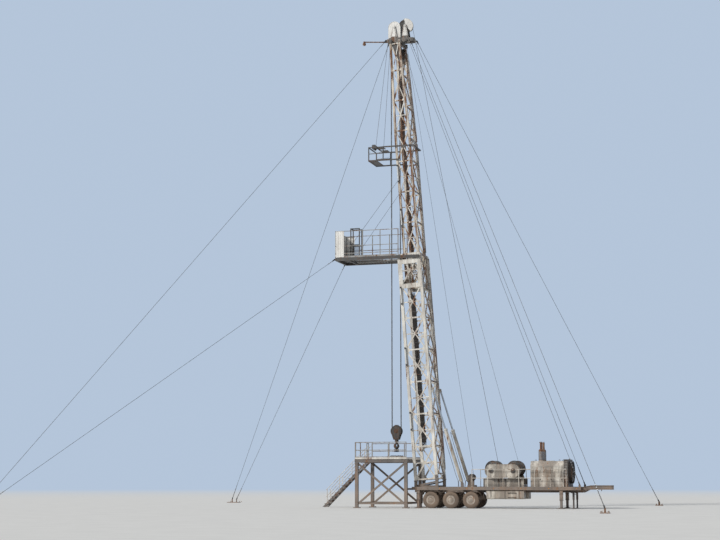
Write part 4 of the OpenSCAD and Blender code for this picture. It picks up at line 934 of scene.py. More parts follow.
def makeBoardFloor():
    look = {"tip": 0.37, "beam": 1.211, "toe": 1.172, "post": 1.15}
    x0, top, inner, cage = board["x0"], board["top"], board["inner"], board["cage"]
    bm, latches, toes = meshes(3)
    grating(bm, x0 + 0.121, cage - 0.001, -inner + 0.006, inner - 0.006, top)
    grating(bm, x0 + 0.01, -0.905, -0.296, 0.296, top + 0.04)
    for y in (-0.3, 0.3):  # edge bars of the walkway
        box(bm, (x0, y - 0.004, top + 0.0005), (-0.9, y + 0.004, top + 0.05))
    piece("boardGrating", bm, "board_paint", galvanised, replaces=("board_walkway",))
    for side in both:
        y = side * look["tip"]
        for k in range(1, 12):  # latch at the tip of each racking finger
            x = cage + k * (-cage - 0.9) / 11 + 0.05
            box(latches, (x - 0.035, y - 0.03, top - 0.058), (x + 0.035, y + 0.03, top - 0.03))
            disc(latches, (x, y, top - 0.06), zAxis, 0.012, 0.05, 8)
        boltGrid(latches, (-3.8, -3.0, -2.2, -1.4, -0.6, 0.2, 1.0, 1.7), [side * look["beam"]],
                 [top - 0.1], (0, side, 0), 0.018)
    boltGrid(latches, [x0 - 0.001], [-0.9 + 0.3 * k for k in range(7)], [top - 0.1],
             (-1, 0, 0), 0.018)
    piece("fingerLatches", latches, "rusty_steel")
    for side in both:  # toe boards, post feet and knee rail clamps
        y = side * look["toe"]
        box(toes, (x0 + 0.01, y, top), (0.37, y + side * 0.006, top + 0.12))
        y = side * look["post"]
        for x in (x0 + 0.025, -1.975, -0.775, 0.35):
            box(toes, (x - 0.06, y - 0.05, top), (x + 0.06, y + 0.05, top + 0.012))
            for z in (16.68, 17.18, 18.18):
                box(toes, (x - 0.034, y - 0.034, z - 0.03), (x + 0.034, y + 0.034, z + 0.03))
    piece("boardToeBoards", toes, "board_paint", bevel=pressed)


def makeBoardSheet():
    # ribbed end sheet, its folded wings and edges, and the mesh infill of the cage
    look = {"ribs": 17, "ribDepth": 0.022, "half": 1.21, "wing": 0.6, "wingDepth": 0.016}
    x0, top, half, tall = board["x0"], board["top"], look["half"], board["rail"] - 0.22
    sheet, edges, infill = meshes(3)
    pts = []
    step = 2 * half / look["ribs"]
    for k, (f, out) in product(range(look["ribs"]), ((0.0, 0), (0.42, 0), (0.55, 1), (0.87, 1))):
        pts.append((x0 - 0.002 - out * look["ribDepth"], -half + step * k + f * step))
    pts.append((x0 - 0.002, half))
    outlines = [pts + [(x - 0.004, y) for x, y in reversed(pts)]]
    for side in both:
        wing, step = [], look["wing"] / 5
        for k, (f, out) in product(range(5), ((0.0, 0), (0.4, 0), (0.55, 1), (0.85, 1))):
            wing.append((x0 + step * k + f * step, side * (1.176 + out * look["wingDepth"])))
        wing.append((x0 + look["wing"], side * 1.176))
        outlines.append(wing + [(x, y + side * 0.004) for x, y in reversed(wing)])
    for outline in outlines:
        plate(sheet, [(x, y, top + 0.02) for x, y in outline], zAxis, tall)
    piece("boardEndSheet", sheet, "panel_sheet", replaces=("board_end_panel",))
    for z in (top + 0.03, top + board["rail"] - 0.21):
        ends = ((0.59, -1.19), (-0.004, -1.19), (-0.004, 1.19), (0.59, 1.19))
        tube(edges, [(x0 + x, y, z) for x, y in ends], 0.014, 8)
    for side, j in product(both, range(6)):
        bolt(edges, (x0 - 0.008, side * 1.15, top + 0.15 + 0.3 * j), (-1, 0, 0), 0.01)
    piece("boardSheetEdge", edges, "board_paint")
    for side in both:
        y = side * 0.27
        for x in (-3.04 + 0.54 * k / 8 for k in range(9)):
            box(infill, (x - 0.004, y - 0.004, top + 0.1), (x + 0.004, y + 0.004, top + 0.98))
        for z in (top + 0.14 + 0.07 * k for k in range(12)):
            box(infill, (-3.05, y - 0.0035, z), (-2.49, y + 0.0035, z + 0.007))
    piece("cageMesh", infill, "dark_paint")


makeBasketDetail()
makeFloodlight()
makeBoardFloor()
makeBoardSheet()
print("basket and board dressed")


def makeBlockDetail():
    look = {"face": 0.17, "boltR": 0.335, "ribR": 0.345, "foot": 0.48}
    bolts, ribs = meshes(2)
    z = block["z"]
    for side in both:
        face, out = side * look["face"], (0, side, 0)
        for a in (0.5, 1.57, 2.64, 3.6, 5.82):  # spacer bolts through the cheeks
            r = look["boltR"]
            bolt(bolts, (r * cos(a), side * 0.171, z + r * sin(a)), out, 0.022, 0.022)
        lathe(bolts, (0, face, z), out, ((0.12, 0), (0.12, 0.018), (0.1, 0.024), (0.06, 0.024)), 24)
        boltRing(bolts, (0, side * 0.19, z), out, 0.095, 8, 0.01)
        for x in (-0.11, 0.0, 0.11):
            bolt(bolts, (x, side * 0.171, z - look["foot"]), out, 0.02, 0.02)
        y = face + side * 0.009
        for way in both:
            bar(ribs, (way * 0.26, y, z - 0.13), (way * 0.14, y, z - 0.52), 0.03, 0.018)
        tube(ribs, arc(0, face + side * 0.007, z, look["ribR"], -0.2, 3.34, 30), 0.013, 8)
    piece("blockBolts", bolts, "rusty_steel", body="travelling_block")
    piece("blockCheekRibs", ribs, "block_paint", body="travelling_block")


def makeHook():
    look = {"throat": 0.127, "throatZ": 0.395, "from": 112, "to": 412, "steps": 24, "flat": 0.72}
    top, pin = block["hookTop"], block["hookPin"]
    body, latch = meshes(2)
    # swivel stem, spring case and shank collar
    lathe(body, (0, 0, top + 0.151), zAxis,
          ((0.05, 0), (0.085, 0), (0.085, 0.03), (0.075, 0.038), (0.03, 0.038)), 28)
    lathe(body, (0, 0, top - 0.02), zAxis,
          ((0.05, 0), (0.06, 0.004), (0.06, 0.19), (0.04, 0.19)), 28)
    lathe(body, (0, 0, top), zAxis,
          ((0.07, -0.21), (0.105, -0.2), (0.128, -0.17), (0.13, -0.15), (0.124, -0.145),
           (0.124, -0.06), (0.13, -0.055), (0.13, -0.02), (0.115, -0.006), (0.06, -0.006)), 32)
    boltRing(body, (0, 0, top - 0.006), zAxis, 0.095, 8, 0.008)
    # hook body, one tapered curve round the throat
    path, size = [Vector((0, 0, top - 0.19)), Vector((-0.02, 0, top - 0.235))], [0.062, 0.06]
    path += arc(0, 0, top - look["throatZ"], look["throat"], radians(look["from"]),
                radians(look["to"]), look["steps"])
    for k in range(look["steps"] + 1):
        size.append(0.062 + 0.028 * sin(pi * min(1, k / 19)) - (0.034 * max(0, k - 18) / 6))
    tube(body, path, size, 14, stretch=look["flat"])
    lathe(body, (0, -0.23, pin), yAxis,
          ((0.03, 0), (0.0395, 0.006), (0.0395, 0.454), (0.03, 0.46)), 20)
    for side in both:
        lathe(body, (0, side * 0.228, pin), (0, side, 0),
              ((0.06, -0.01), (0.06, 0.0), (0.05, 0.006)), 20)
    piece("hookBody", body, "block_paint", body="hook", replaces=("hook",), smooth=50)
    bar(latch, (0.015, 0, top - 0.25), (0.125, 0, top - 0.305), 0.02, 0.05)
    disc(latch, (0.015, -0.035, top - 0.25), yAxis, 0.018, 0.07, 12)
    piece("hookLatch", latch, "rusty_steel", body="hook")


def makeLinks():
    look = {"reach": 0.56, "y": 0.19}
    bm = bmesh.new()
    z0, z1 = block["hookPin"], block["hookPin"] - look["reach"]
    for y in (-look["y"], look["y"]):
        for z, mid, thick in ((z0, 0.063, 0.022), (z1, 0.058, 0.017)):
            tube(bm, arc(0, y, z, mid, steps=28)[:-1], thick, 10, closed=True)
        heights = (z0 - 0.06, z0 - 0.13, z1 + 0.13, z1 + 0.055)
        tube(bm, [(0, y, z) for z in heights], [0.034, 0.027, 0.027, 0.032], 14)
    piece("linkLoops", bm, "block_paint", body="hook", replaces=("elevator_links",), smooth=60)


def makeElevators():
    look = {"drop": 0.7, "steps": 30, "gap": 0.17, "bore": 0.0372}
    z, steps, gap = block["hookTop"] - look["drop"], look["steps"], look["gap"]
    body, handles = meshes(2)
    bore = look["bore"]
    section = ((0.105, -0.1), (0.14, -0.092), (0.148, -0.06), (0.136, -0.03), (0.136, 0.03),
               (0.148, 0.06), (0.143, 0.092), (0.11, 0.1), (bore, 0.1), (bore, -0.1))
    rings = []
    for a in (gap + (2 * pi - 2 * gap) * k / steps for k in range(steps + 1)):
        rings.append([body.verts.new((r * cos(a), r * sin(a), z + h)) for r, h in section])
    skin(body, rings)
    for side in both:
        lathe(body, (0, side * 0.12, z), (0, side, 0),
              ((0.052, 0), (0.039, 0.03), (0.039, 0.115), (0.052, 0.12)), 16)
    piece("elevatorBody", body, "block_paint", body="hook", replaces=("elevators",), smooth=40)
    disc(handles, (-0.148, 0, z - 0.11), zAxis, 0.016, 0.22, 12)  # hinge pin, then the latch
    tube(handles, bend([(0.14, 0.07, z + 0.02), (0.17, 0.1, z + 0.02), (0.18, 0.02, z + 0.02),
                        (0.15, -0.06, z + 0.02)], 5), 0.01, 8)
    grip = ((-0.09, 0.12, 0.05), (-0.15, 0.2, 0.05), (-0.19, 0.12, 0.03), (-0.13, 0.07, 0.02))
    for side in both:
        tube(handles, bend([(x, side * y, z + h) for x, y, h in grip], 5), 0.009, 8)
    piece("elevatorHandles", handles, "rusty_steel", body="hook")


makeBlockDetail()
makeHook()
makeLinks()
makeElevators()
print("block and hook made")


def makeTyres():
    look = {"r": 0.525, "wide": 0.27, "blocks": 40, "ribs": 5, "groove": 0.016}
    r, w = look["r"], look["wide"]
    wall = ((0.292, 0.02), (0.31, 0.008), (0.332, 0.004), (0.4, 0.0), (0.47, 0.008),
            (0.505, 0.022), (0.513, 0.034))
    profile = list(wall)
    for k in range(look["ribs"]):  # ribs and grooves of the tread
        a = 0.046 + k * (w - 0.092) / 4
        profile += [(r - 0.004, a - 0.014), (r, a - 0.012), (r, a + 0.012), (r - 0.004, a + 0.014)]
        if k < 4:
            profile += [(r - look["groove"], a + 0.017), (r - look["groove"], a + 0.028)]
    profile += [(radius, w - y) for radius, y in reversed(wall)]
    bm = bmesh.new()
    half = trailer["half"]
    for x, side, start in product(trailer["axles"], both, (half - 0.02 - w, half - 0.04 - 2 * w)):
        y = start if side > 0 else -(start + w)
        lathe(bm, (x, y, r), yAxis, profile, 44)
        for k in range(look["blocks"]):  # shoulder lugs
            c, s = cos(2 * pi * k / look["blocks"]), sin(2 * pi * k / look["blocks"])
            for edge in (y + 0.026, y + (w - 0.026)):
                bar(bm, (x + c * 0.5, edge, r + s * 0.5), (x + c * 0.5225, edge, r + s * 0.5225),
                    0.045, 0.022)
    piece("tyreTreads", bm, "tyre_rubber", replaces=("tyres",), smooth=30)


def makeRunningGear():
    look = {"r": 0.525, "nuts": 10, "hubBolts": 6, "leaves": 6, "beamY": 0.49}
    rims, nuts, gear = meshes(3)
    r = look["r"]
    for x, side in product(trailer["axles"], both):
        face, out = side * (trailer["half"] - 0.03), (0, side, 0)
        lathe(rims, (x, face, r), out,
              ((0.286, 0.0), (0.29, 0.008), (0.28, 0.014), (0.262, 0.006), (0.235, 0.002),
               (0.2, 0.006), (0.16, 0.008), (0.13, 0.004)), 36)
        lathe(rims, (x, face, r), out,
              ((0.125, -0.02), (0.125, 0.01), (0.11, 0.018), (0.085, 0.024), (0.02, 0.026)), 28)
        boltRing(nuts, (x, face + side * 0.006, r), out, 0.1675, look["nuts"], 0.016)
        boltRing(nuts, (x, face + side * 0.012, r), out, 0.1, look["hubBolts"], 0.008)
        y = side * look["beamY"]
        for k in range(look["leaves"]):  # leaf springs
            leaf, z = 0.5 - 0.06 * k, 0.66 - 0.014 * k
            pts = [(x + leaf * t, y, z + 0.1 * t * t) for t in (j / 5 - 1 for j in range(11))]
            for p, q in zip(pts, pts[1:]):
                bar(gear, p, q, 0.012, 0.075)
        box(gear, (x - 0.07, y - 0.05, 0.52), (x + 0.07, y + 0.05, 0.62))
        for dx, dy in product((-0.05, 0.05), (-0.052, 0.052)):
            tube(gear, [(x + dx, y + dy, 0.5), (x + dx, y + dy, 0.72)], 0.009, 8)
        lathe(gear, (x + 0.17, side * 0.3, 0.6), xAxis,
              ((0.04, 0), (0.085, 0.02), (0.09, 0.09), (0.07, 0.13), (0.02, 0.15)), 18)
    piece("wheelFaces", rims, "machine_paint")
    piece("wheelNuts", nuts, "rusty_steel")
    piece("springsAndBrakes", gear, "dark_paint")


def makeTrailerTrim():
    look = {"guardY": 0.7, "guardWide": 0.57, "sheet": 0.006, "boltPitch": 0.42}
    x0, x1, half, deck = trailer["x0"], trailer["x1"], trailer["half"], trailer["deck"]
    guards, bolts = meshes(2)
    arch = ((-0.6, 0.86), (-0.55, 1.0), (-0.42, 1.085), (0.42, 1.085), (0.55, 1.0), (0.6, 0.86))
    arch += tuple((x, z - look["sheet"]) for x, z in reversed(arch))
    for side in both:  # mudguards over each axle
        y = look["guardY"] if side > 0 else -look["guardY"] - look["guardWide"]
        for x in trailer["axles"]:
            plate(guards, [(x + px, y, pz) for px, pz in arch], yAxis, look["guardWide"])
        y = side * 0.99
        box(guards, (1.92, y - 0.27, 0.3), (1.93, y + 0.27, 1.0))
    piece("mudguards", guards, "trailer_paint")
    for side in both:
        out = (0, side, 0)
        x = x0 + 0.2
        while x < x1:
            bolt(bolts, (x, side * half, deck - 0.1), out, 0.013)
            x += look["boltPitch"]
        boltGrid(bolts, (x0 + 0.08, x0 + 0.16), [side * half], (deck - 0.16, deck - 0.06),
                 out, 0.014)
        neck = [x1 + 0.15 + 0.11 * j for j in range(14)]
        boltGrid(bolts, neck, [side * 0.505], [1.24], out, 0.011)
    piece("trailerBolts", bolts, "rusty_steel")


def makeTrailerLamps():
    look = {"first": 3.2, "pitch": 1.75}
    red, amber, mount = meshes(3)
    x0, z = trailer["x0"], trailer["deck"] - 0.1
    for side in both:
        for shade, y in zip((amber, red, red), (0.72, 0.88, 1.04)):
            lathe(shade, (x0 - 0.012, side * y, z), (-1, 0, 0),
                  ((0.05, -0.012), (0.052, 0.004), (0.044, 0.014), (0.01, 0.018)), 18)
            lathe(mount, (x0, side * y, z), (-1, 0, 0),
                  ((0.062, -0.004), (0.062, 0.008), (0.055, 0.012)), 18)
        x = look["first"]
        while x < trailer["x1"]:
            lathe(amber, (x, side * trailer["half"], z), (0, side, 0),
                  ((0.028, -0.004), (0.03, 0.004), (0.02, 0.014), (0.004, 0.016)), 14)
            x += look["pitch"]
    piece("rearLampRims", mount, "dark_paint")
    piece("rearLamps", red, "lamp_housing", redLens)
    piece("sideLamps", amber, "lamp_housing", amberLens)


def makeTrailerRails():
    look = {"from": 5.3, "posts": 7, "post": 0.02, "rail": 0.018, "legY": 0.72, "line": 0.011}
    rails, legs, hoses = meshes(3)
    deck = trailer["deck"]
    for side in both:  # handrail along the machinery deck
        y = side * (trailer["half"] - 0.03)
        for x in (look["from"] + k for k in range(look["posts"])):
            tube(rails, [(x, y, deck + 0.01), (x, y, deck + 1.1)], look["post"], 10)
            box(rails, (x - 0.045, y - 0.03, deck + 0.01), (x + 0.045, y + 0.03, deck + 0.02))
        for z in (deck + 0.55, deck + 1.1):
            tube(rails, [(look["from"], y, z), (look["from"] + 6, y, z)], look["rail"], 10)
    piece("deckHandrails", rails, "mast_paint")
    x = trailer["x1"] - 0.55
    for side in both:  # landing legs under the neck
        y = side * look["legY"]
        box(legs, (x - 0.06, y - 0.06, 0.55), (x + 0.06, y + 0.06, deck - 0.2))
        box(legs, (x - 0.045, y - 0.045, 0.06), (x + 0.045, y + 0.045, 0.6))
        lathe(legs, (x, y, 0.0), zAxis, ((0.15, 0), (0.15, 0.014), (0.06, 0.03), (0.05, 0.07)), 20)
        bar(legs, (x, y, 0.95), (x - 0.6, y, deck - 0.19), 0.04, 0.012)
    tube(legs, [(x, -0.68, 0.9), (x, 0.68, 0.9)], 0.02, 10)
    crank = ((-0.79, 0.9), (-0.95, 0.9), (-0.97, 0.75), (-1.08, 0.74))
    tube(legs, bend([(x, y, z) for y, z in crank], 4), 0.012, 8)
    piece("landingLegs", legs, "dark_paint")
    for k, side in product(range(3), both):  # air and oil lines along the main beams
        pts = [(trailer["x0"] + 0.3 + j * 0.9, side * (0.4 - 0.03 * k),
                1.2 + 0.012 * sin(j * 2.3 + k)) for j in range(12)]
        tube(hoses, bend(pts, 3), look["line"], 7)
    piece("underdeckHoses", hoses, "tyre_rubber", hoseRubber)


def makeJackDetail():
    look = {"inset": 0.155,
            "hose": ((0.1, 0, 1.1), (0.2, 0.03, 1.12), (0.3, 0.2, 1.2), (0.4, 0.4, 1.22))}
    collars, hoses = meshes(2)
    for side, x in product(both, (1.75, 10.95)):
        y = side * (trailer["half"] - look["inset"])
        for z in (0.52, 0.9, 1.2):
            box(collars, (x - 0.112, y - 0.107, z), (x + 0.112, y + 0.107, z + 0.035))
        lathe(collars, (x, y, 0.036), zAxis,
              ((0.2, 0), (0.2, 0.01), (0.1, 0.03), (0.085, 0.06)), 24)
        boltRing(collars, (x, y, 0.04), zAxis, 0.17, 8, 0.012)
        disc(collars, (x, y - 0.12, 0.62), yAxis, 0.02, 0.24, 12)
        tube(hoses, bend([(x + dx, y - side * dy, z) for dx, dy, z in look["hose"]], 5), 0.012, 8)
    piece("jackCollars", collars, "dark_paint", bevel=0.003)
    piece("jackHoses", hoses, "tyre_rubber", hoseRubber)


def makeRams():
    look = {"barrelR": 0.11, "rodR": 0.06, "share": 0.55, "foot": (4.6, 1.56), "top": (0.895, 5.8),
            "hose": 0.013}
    paint, rods, hoses = meshes(3)
    for side in both:
        a = Vector((look["foot"][0], side * 1.0, look["foot"][1]))
        b = onMast(look["top"][0], side * 1.0, look["top"][1])
        z, length = (b - a).normalized(), (b - a).length
        w = z.cross(Vector(yAxis)).normalized()
        r, end = look["barrelR"], 0.13 + look["share"] * length
        lathe(paint, a, z,
              ((0.06, 0.12), (0.1, 0.13), (r, 0.15), (r, end - 0.12), (0.128, end - 0.11),
               (0.128, end - 0.02), (0.115, end), (0.07, end + 0.012)), 32)
        boltRing(paint, a + z * (end - 0.02), z, 0.1, 8, 0.012)
        lathe(paint, a - Vector((0, 0.02, 0)), yAxis,
              ((0.0355, 0), (0.075, 0), (0.075, 0.04), (0.0355, 0.04)), 24, closed=True)
        bar(paint, a + z * 0.045, a + z * 0.16, 0.15, 0.04)
        for y in (-0.0353, 0.0353):  # fork of the rod end
            lathe(paint, b + Vector((0, y - 0.0148, 0)), yAxis,
                  ((0.036, 0), (0.07, 0), (0.07, 0.0296), (0.036, 0.0296)), 24, closed=True)
            ear = Vector((0, y, 0))
            bar(paint, b - z * 0.04 + ear, b - z * 0.17 + ear, 0.12, 0.0296)
        bar(paint, b - z * 0.12, b - z * 0.18, 0.12, 0.1)
        lathe(paint, b - Vector((0, 0.065, 0)), yAxis,
              ((0.03, 0), (0.035, 0.004), (0.035, 0.126), (0.03, 0.13)), 18)
        r, tip = look["rodR"], length - 0.125
        lathe(rods, a, z, ((0.05, end), (r, end + 0.002), (r, tip - 0.005), (0.05, tip)), 28)
        for t in (0.25, end - 0.25):
            lathe(paint, a + z * t + w * 0.1, w, ((0.03, 0), (0.03, 0.03), (0.02, 0.035)), 14)
        top, low = a + z * (end - 0.25) + w * 0.14, a + z * 0.25 + w * 0.14
        long = [top, top + w * 0.06 - z * 0.08, low + w * 0.09 + z * 0.5, low + w * 0.07,
                a + w * 0.3 - Vector((0, side * 0.1, 0.1))]
        short = [low, low + w * 0.04 - z * 0.05, a + w * 0.26 - Vector((0, side * 0.14, 0.12))]
        tube(hoses, bend(long, 8), look["hose"], 8)
        tube(hoses, bend(short, 6), look["hose"], 8)
    piece("ramBarrels", paint, "ram_steel", replaces=("raising_rams",))
    piece("ramRods", rods, "ram_steel", chrome)
    piece("ramHoses", hoses, "tyre_rubber", hoseRubber)


makeTyres()
makeRunningGear()
makeTrailerTrim()
makeTrailerLamps()
makeTrailerRails()
makeJackDetail()
makeRams()
print("trailer dressed")


def makeDrawworksDetail():
    look = {"rimY": 0.54, "case": -1.06, "plate": 0.69, "leverZ": 2.5}
    iron, bolts, levers = meshes(3)
    z, case, away = trailer["drumZ"], look["case"], (0, -1, 0)
    for x in (trailer["drumX"], trailer["sandX"]):
        for y in (-look["rimY"], look["rimY"]):  # brake rims and bands
            lathe(iron, (x, y - 0.055, z), yAxis,
                  ((0.482, 0), (0.496, 0.002), (0.496, 0.108), (0.482, 0.11)), 48, closed=True)
            lathe(iron, (x, y - 0.045, z), yAxis,
                  ((0.499, 0), (0.505, 0), (0.505, 0.09), (0.499, 0.09)), 48, closed=True)
        for side in both:
            boltRing(bolts, (x, side * 0.7, z), (0, side, 0), 0.15, 8, 0.017)
            lathe(iron, (x, side * 0.68, z), (0, side, 0),
                  ((0.13, 0), (0.13, 0.02), (0.1, 0.045), (0.085, 0.045)), 28)
        boltRing(bolts, (x, case, z - 0.15), away, 0.385, 16, 0.011)
        lathe(iron, (x, case, z - 0.15), away,
              ((0.16, -0.004), (0.16, 0.012), (0.14, 0.018), (0.02, 0.018)), 28)
        boltRing(bolts, (x, case - 0.012, z - 0.15), away, 0.135, 6, 0.009)
    xs = [trailer["drumX"] + 0.2 + 0.167 * k for k in range(7)]
    boltGrid(bolts, xs, [case], (z - 0.53, z + 0.235), away, 0.011)
    for x, side in product((5.95, 6.9, 7.35, 8.3), both):  # stiffeners on the side plates
        bar(iron, (x, side * look["plate"], 1.37), (x, side * look["plate"], 1.84), 0.05, 0.02)
    for y in (-look["plate"], look["plate"]):
        bar(iron, (5.92, y, 1.85), (8.48, y, 1.85), 0.04, 0.03)
    piece("drumBrakes", iron, "drum_iron")
    piece("drawworksBolts", bolts, "rusty_steel")
    for k, x in enumerate((6.1, 6.22, 6.34)):  # brake and clutch levers
        high = look["leverZ"] - 0.08 * k
        way = ((x, 0.74, 1.5), (x - 0.02, 0.78, 1.9), (x - 0.16, 0.8, high))
        tube(levers, bend(way, 5), 0.014, 8)
        lathe(levers, (x - 0.16, 0.8, high - 0.01), zAxis,
              ((0.01, 0), (0.024, 0.012), (0.024, 0.03), (0.008, 0.042)), 12)
    tube(levers, [(6.1, 0.74, 1.55), (6.34, 0.74, 1.55)], 0.02, 10)
    piece("brakeLevers", levers, "dark_paint")


def makeEngineDetail():
    look = {"base": 1.36, "roof": 2.96, "doors": 3, "doorFrom": 9.06, "doorPitch": 0.68,
            "doorWide": 0.62, "thick": 0.014, "slats": 9, "rivetPitch": 0.18}
    base, roof, thick = look["base"], look["roof"], look["thick"]
    doors, dark, rivets = meshes(3)
    for side in both:
        y = side * 1.0
        for a in (look["doorFrom"] + k * look["doorPitch"] for k in range(look["doors"])):
            b, face = a + look["doorWide"], y + side * thick
            box(doors, (a, y, base + 0.12), (b, face, base + 1.22))
            pitch = 0.5 / look["slats"]
            for z in (base + 0.62 + pitch * k for k in range(look["slats"])):  # louvres
                plate(doors, [(a + 0.07, face, z), (a + 0.07, face + side * 0.028, z - 0.004),
                              (a + 0.07, face + side * 0.03, z), (a + 0.07, face, z + pitch * 0.7)],
                      xAxis, look["doorWide"] - 0.14)
            for z in (base + 0.3, base + 1.04):
                hinge = (a - 0.01, y + side * 0.02)
                tube(dark, [(*hinge, z), (*hinge, z + 0.09)], 0.011, 8)
            box(dark, (b - 0.09, y, base + 0.42), (b - 0.03, y + side * 0.03, base + 0.5))
        boltGrid(rivets, [9.05 + look["rivetPitch"] * k for k in range(12)], [y],
                 (base + 0.05, base + 1.27), (0, side, 0), 0.009)
    for x in (9.12, 10.98):  # roof seams
        box(doors, (x - 0.02, -0.8, roof), (x + 0.02, 0.8, roof + 0.012))
    for x, y in product((9.3, 10.8), (-0.65, 0.65)):  # lifting eyes
        tube(dark, arc(x, y, roof + 0.04, 0.045, steps=16)[:-1], 0.011, 8, closed=True)
    box(doors, (9.75, -0.28, roof), (10.35, 0.28, roof + 0.03))
    for y in (-0.45, 0.45):  # flashing round the exhausts
        lathe(doors, (9.6, y, roof), zAxis,
              ((0.2, 0), (0.2, 0.006), (0.165, 0.03), (0.165, 0.05), (0.151, 0.05)), 28)
    piece("engineDoors", doors, "machine_paint", bevel=pressed)
    piece("engineHinges", dark, "dark_paint")
    piece("engineRivets", rivets, "machine_paint")


def makeRadiatorDetail():
    look = {"x": 11.56, "z": 2.26, "rings": 9, "stays": 8, "blades": 7, "slats": 16}
    x, z = look["x"], look["z"]
    guard, fan, trim = meshes(3)
    for r in (0.1 + 0.0695 * k for k in range(look["rings"])):  # rings of the fan guard
        ring = [(x, r * cos(a), z + r * sin(a)) for a in (2 * pi * j / 48 for j in range(48))]
        tube(guard, ring, 0.005, 6, closed=True)
    for a in (pi * k / 4 for k in range(look["stays"])):  # and its stays
        ends = [(x, r * cos(a), z + r * sin(a)) for r in (0.06, 0.675)]
        bar(guard, *ends, 0.012, 0.008)
    boltRing(guard, (x, 0, z), xAxis, 0.68, 12, 0.012)
    piece("fanGuard", guard, "dark_paint")
    o = Vector((x - 0.075, 0, z))
    for a in (2 * pi * k / look["blades"] for k in range(look["blades"])):
        w, t = Vector((0, cos(a), sin(a))), Vector((0, -sin(a), cos(a)))
        blade = ((0.1, -0.06, 0), (0.62, -0.1, 0), (0.62, 0.08, 0.04), (0.1, 0.04, 0.02))
        plate(fan, [o + w * far + t * turn + Vector((dx, 0, 0)) for far, turn, dx in blade],
              xAxis, 0.006)
    lathe(fan, (x - 0.11, 0, z), xAxis, ((0.12, 0), (0.12, 0.05), (0.09, 0.065), (0.02, 0.07)), 24)
    piece("fanBlades", fan, "ram_steel", galvanised)
    for side, k in product(both, range(look["slats"])):
        low = 1.46 + 0.095 * k
        box(trim, (11.13, side * 0.95, low), (11.33, side * 0.958, low + 0.03))
    lathe(trim, (11.23, 0.6, 3.06), zAxis,
          ((0.05, 0), (0.05, 0.03), (0.06, 0.03), (0.06, 0.055), (0.02, 0.06)), 18)
    piece("radiatorTrim", trim, "board_paint")


def makeExhaustDetail():
    look = {"x": 9.6, "z": 2.96, "slats": 16, "shield": 0.168}
    bands, shields = meshes(2)
    x, z = look["x"], look["z"]
    for y in (-0.45, 0.45):
        for t in (0.06, 0.32, 0.6):
            lathe(bands, (x, y, z + t), zAxis,
                  ((0.1505, 0), (0.157, 0.002), (0.157, 0.03), (0.1505, 0.032)), 28, closed=True)
        lathe(bands, (x, y, z + 0.7), zAxis,
              ((0.15, 0), (0.13, 0.02), (0.085, 0.05), (0.077, 0.06)), 28)
        flap = [(x + 0.085 * cos(a), y + 0.085 * sin(a), z + 1.192 + 0.02 * (1 + cos(a)))
                for a in (2 * pi * k / 20 for k in range(20))]
        plate(bands, flap, (0.1, 0, 1), 0.005)
        bar(bands, (9.515, y, z + 1.15), (9.505, y, z + 1.2), 0.03, 0.03)
        for a in (2 * pi * k / look["slats"] for k in range(look["slats"])):  # heat shield
            r = look["shield"]
            c = Vector((x + r * cos(a), y + r * sin(a), z + 0.08))
            bar(shields, c, c + Vector((0, 0, 0.52)), 0.035, 0.003, (cos(a), sin(a), 0))
    piece("exhaustBands", bands, "rusty_steel")
    piece("exhaustShields", shields, "ram_steel", galvanised)


def makeTankDetail():
    look = {"inner": 0.6, "outer": 1.2, "strap": 0.003, "corner": 0.087, "step": 1.285}
    straps, caps = meshes(2)
    y0, y1, off, corner = look["inner"], look["outer"], look["strap"], look["corner"]
    loop = ((y0 - off, 0.68), (y0 - off, 1.06), (y0 + corner, 1.152), (y1 - corner, 1.152),
            (y1 + off, 1.06), (y1 + off, 0.68), (y1 - corner, 0.587), (y0 + corner, 0.587))
    for side in both:
        for x in (6.5, 7.4, 8.3):
            out = [(x, side * y, z) for y, z in loop]
            for p, q in zip(out, out[1:] + out[:1]):
                bar(straps, p, q, 0.008, 0.05, xAxis)
        lathe(caps, (6.6, side * 1.16, 1.115), (0, side * 0.7, 0.7),
              ((0.05, 0), (0.05, 0.03), (0.06, 0.032), (0.06, 0.06), (0.03, 0.068)), 18)
        near, far = side * y1, side * look["step"]
        for z in (0.7, 0.98):  # steps
            box(straps, (7.6, near, z), (8.1, far, z + 0.02))
            for x in (7.61, 8.08):
                box(straps, (x, near, z - 0.06), (x + 0.01, far, z))
    piece("tankStraps", straps, "dark_paint")
    piece("tankCaps", caps, "ram_steel", galvanised)


makeDrawworksDetail()
makeEngineDetail()
makeRadiatorDetail()
makeExhaustDetail()
makeTankDetail()
print("machinery dressed")


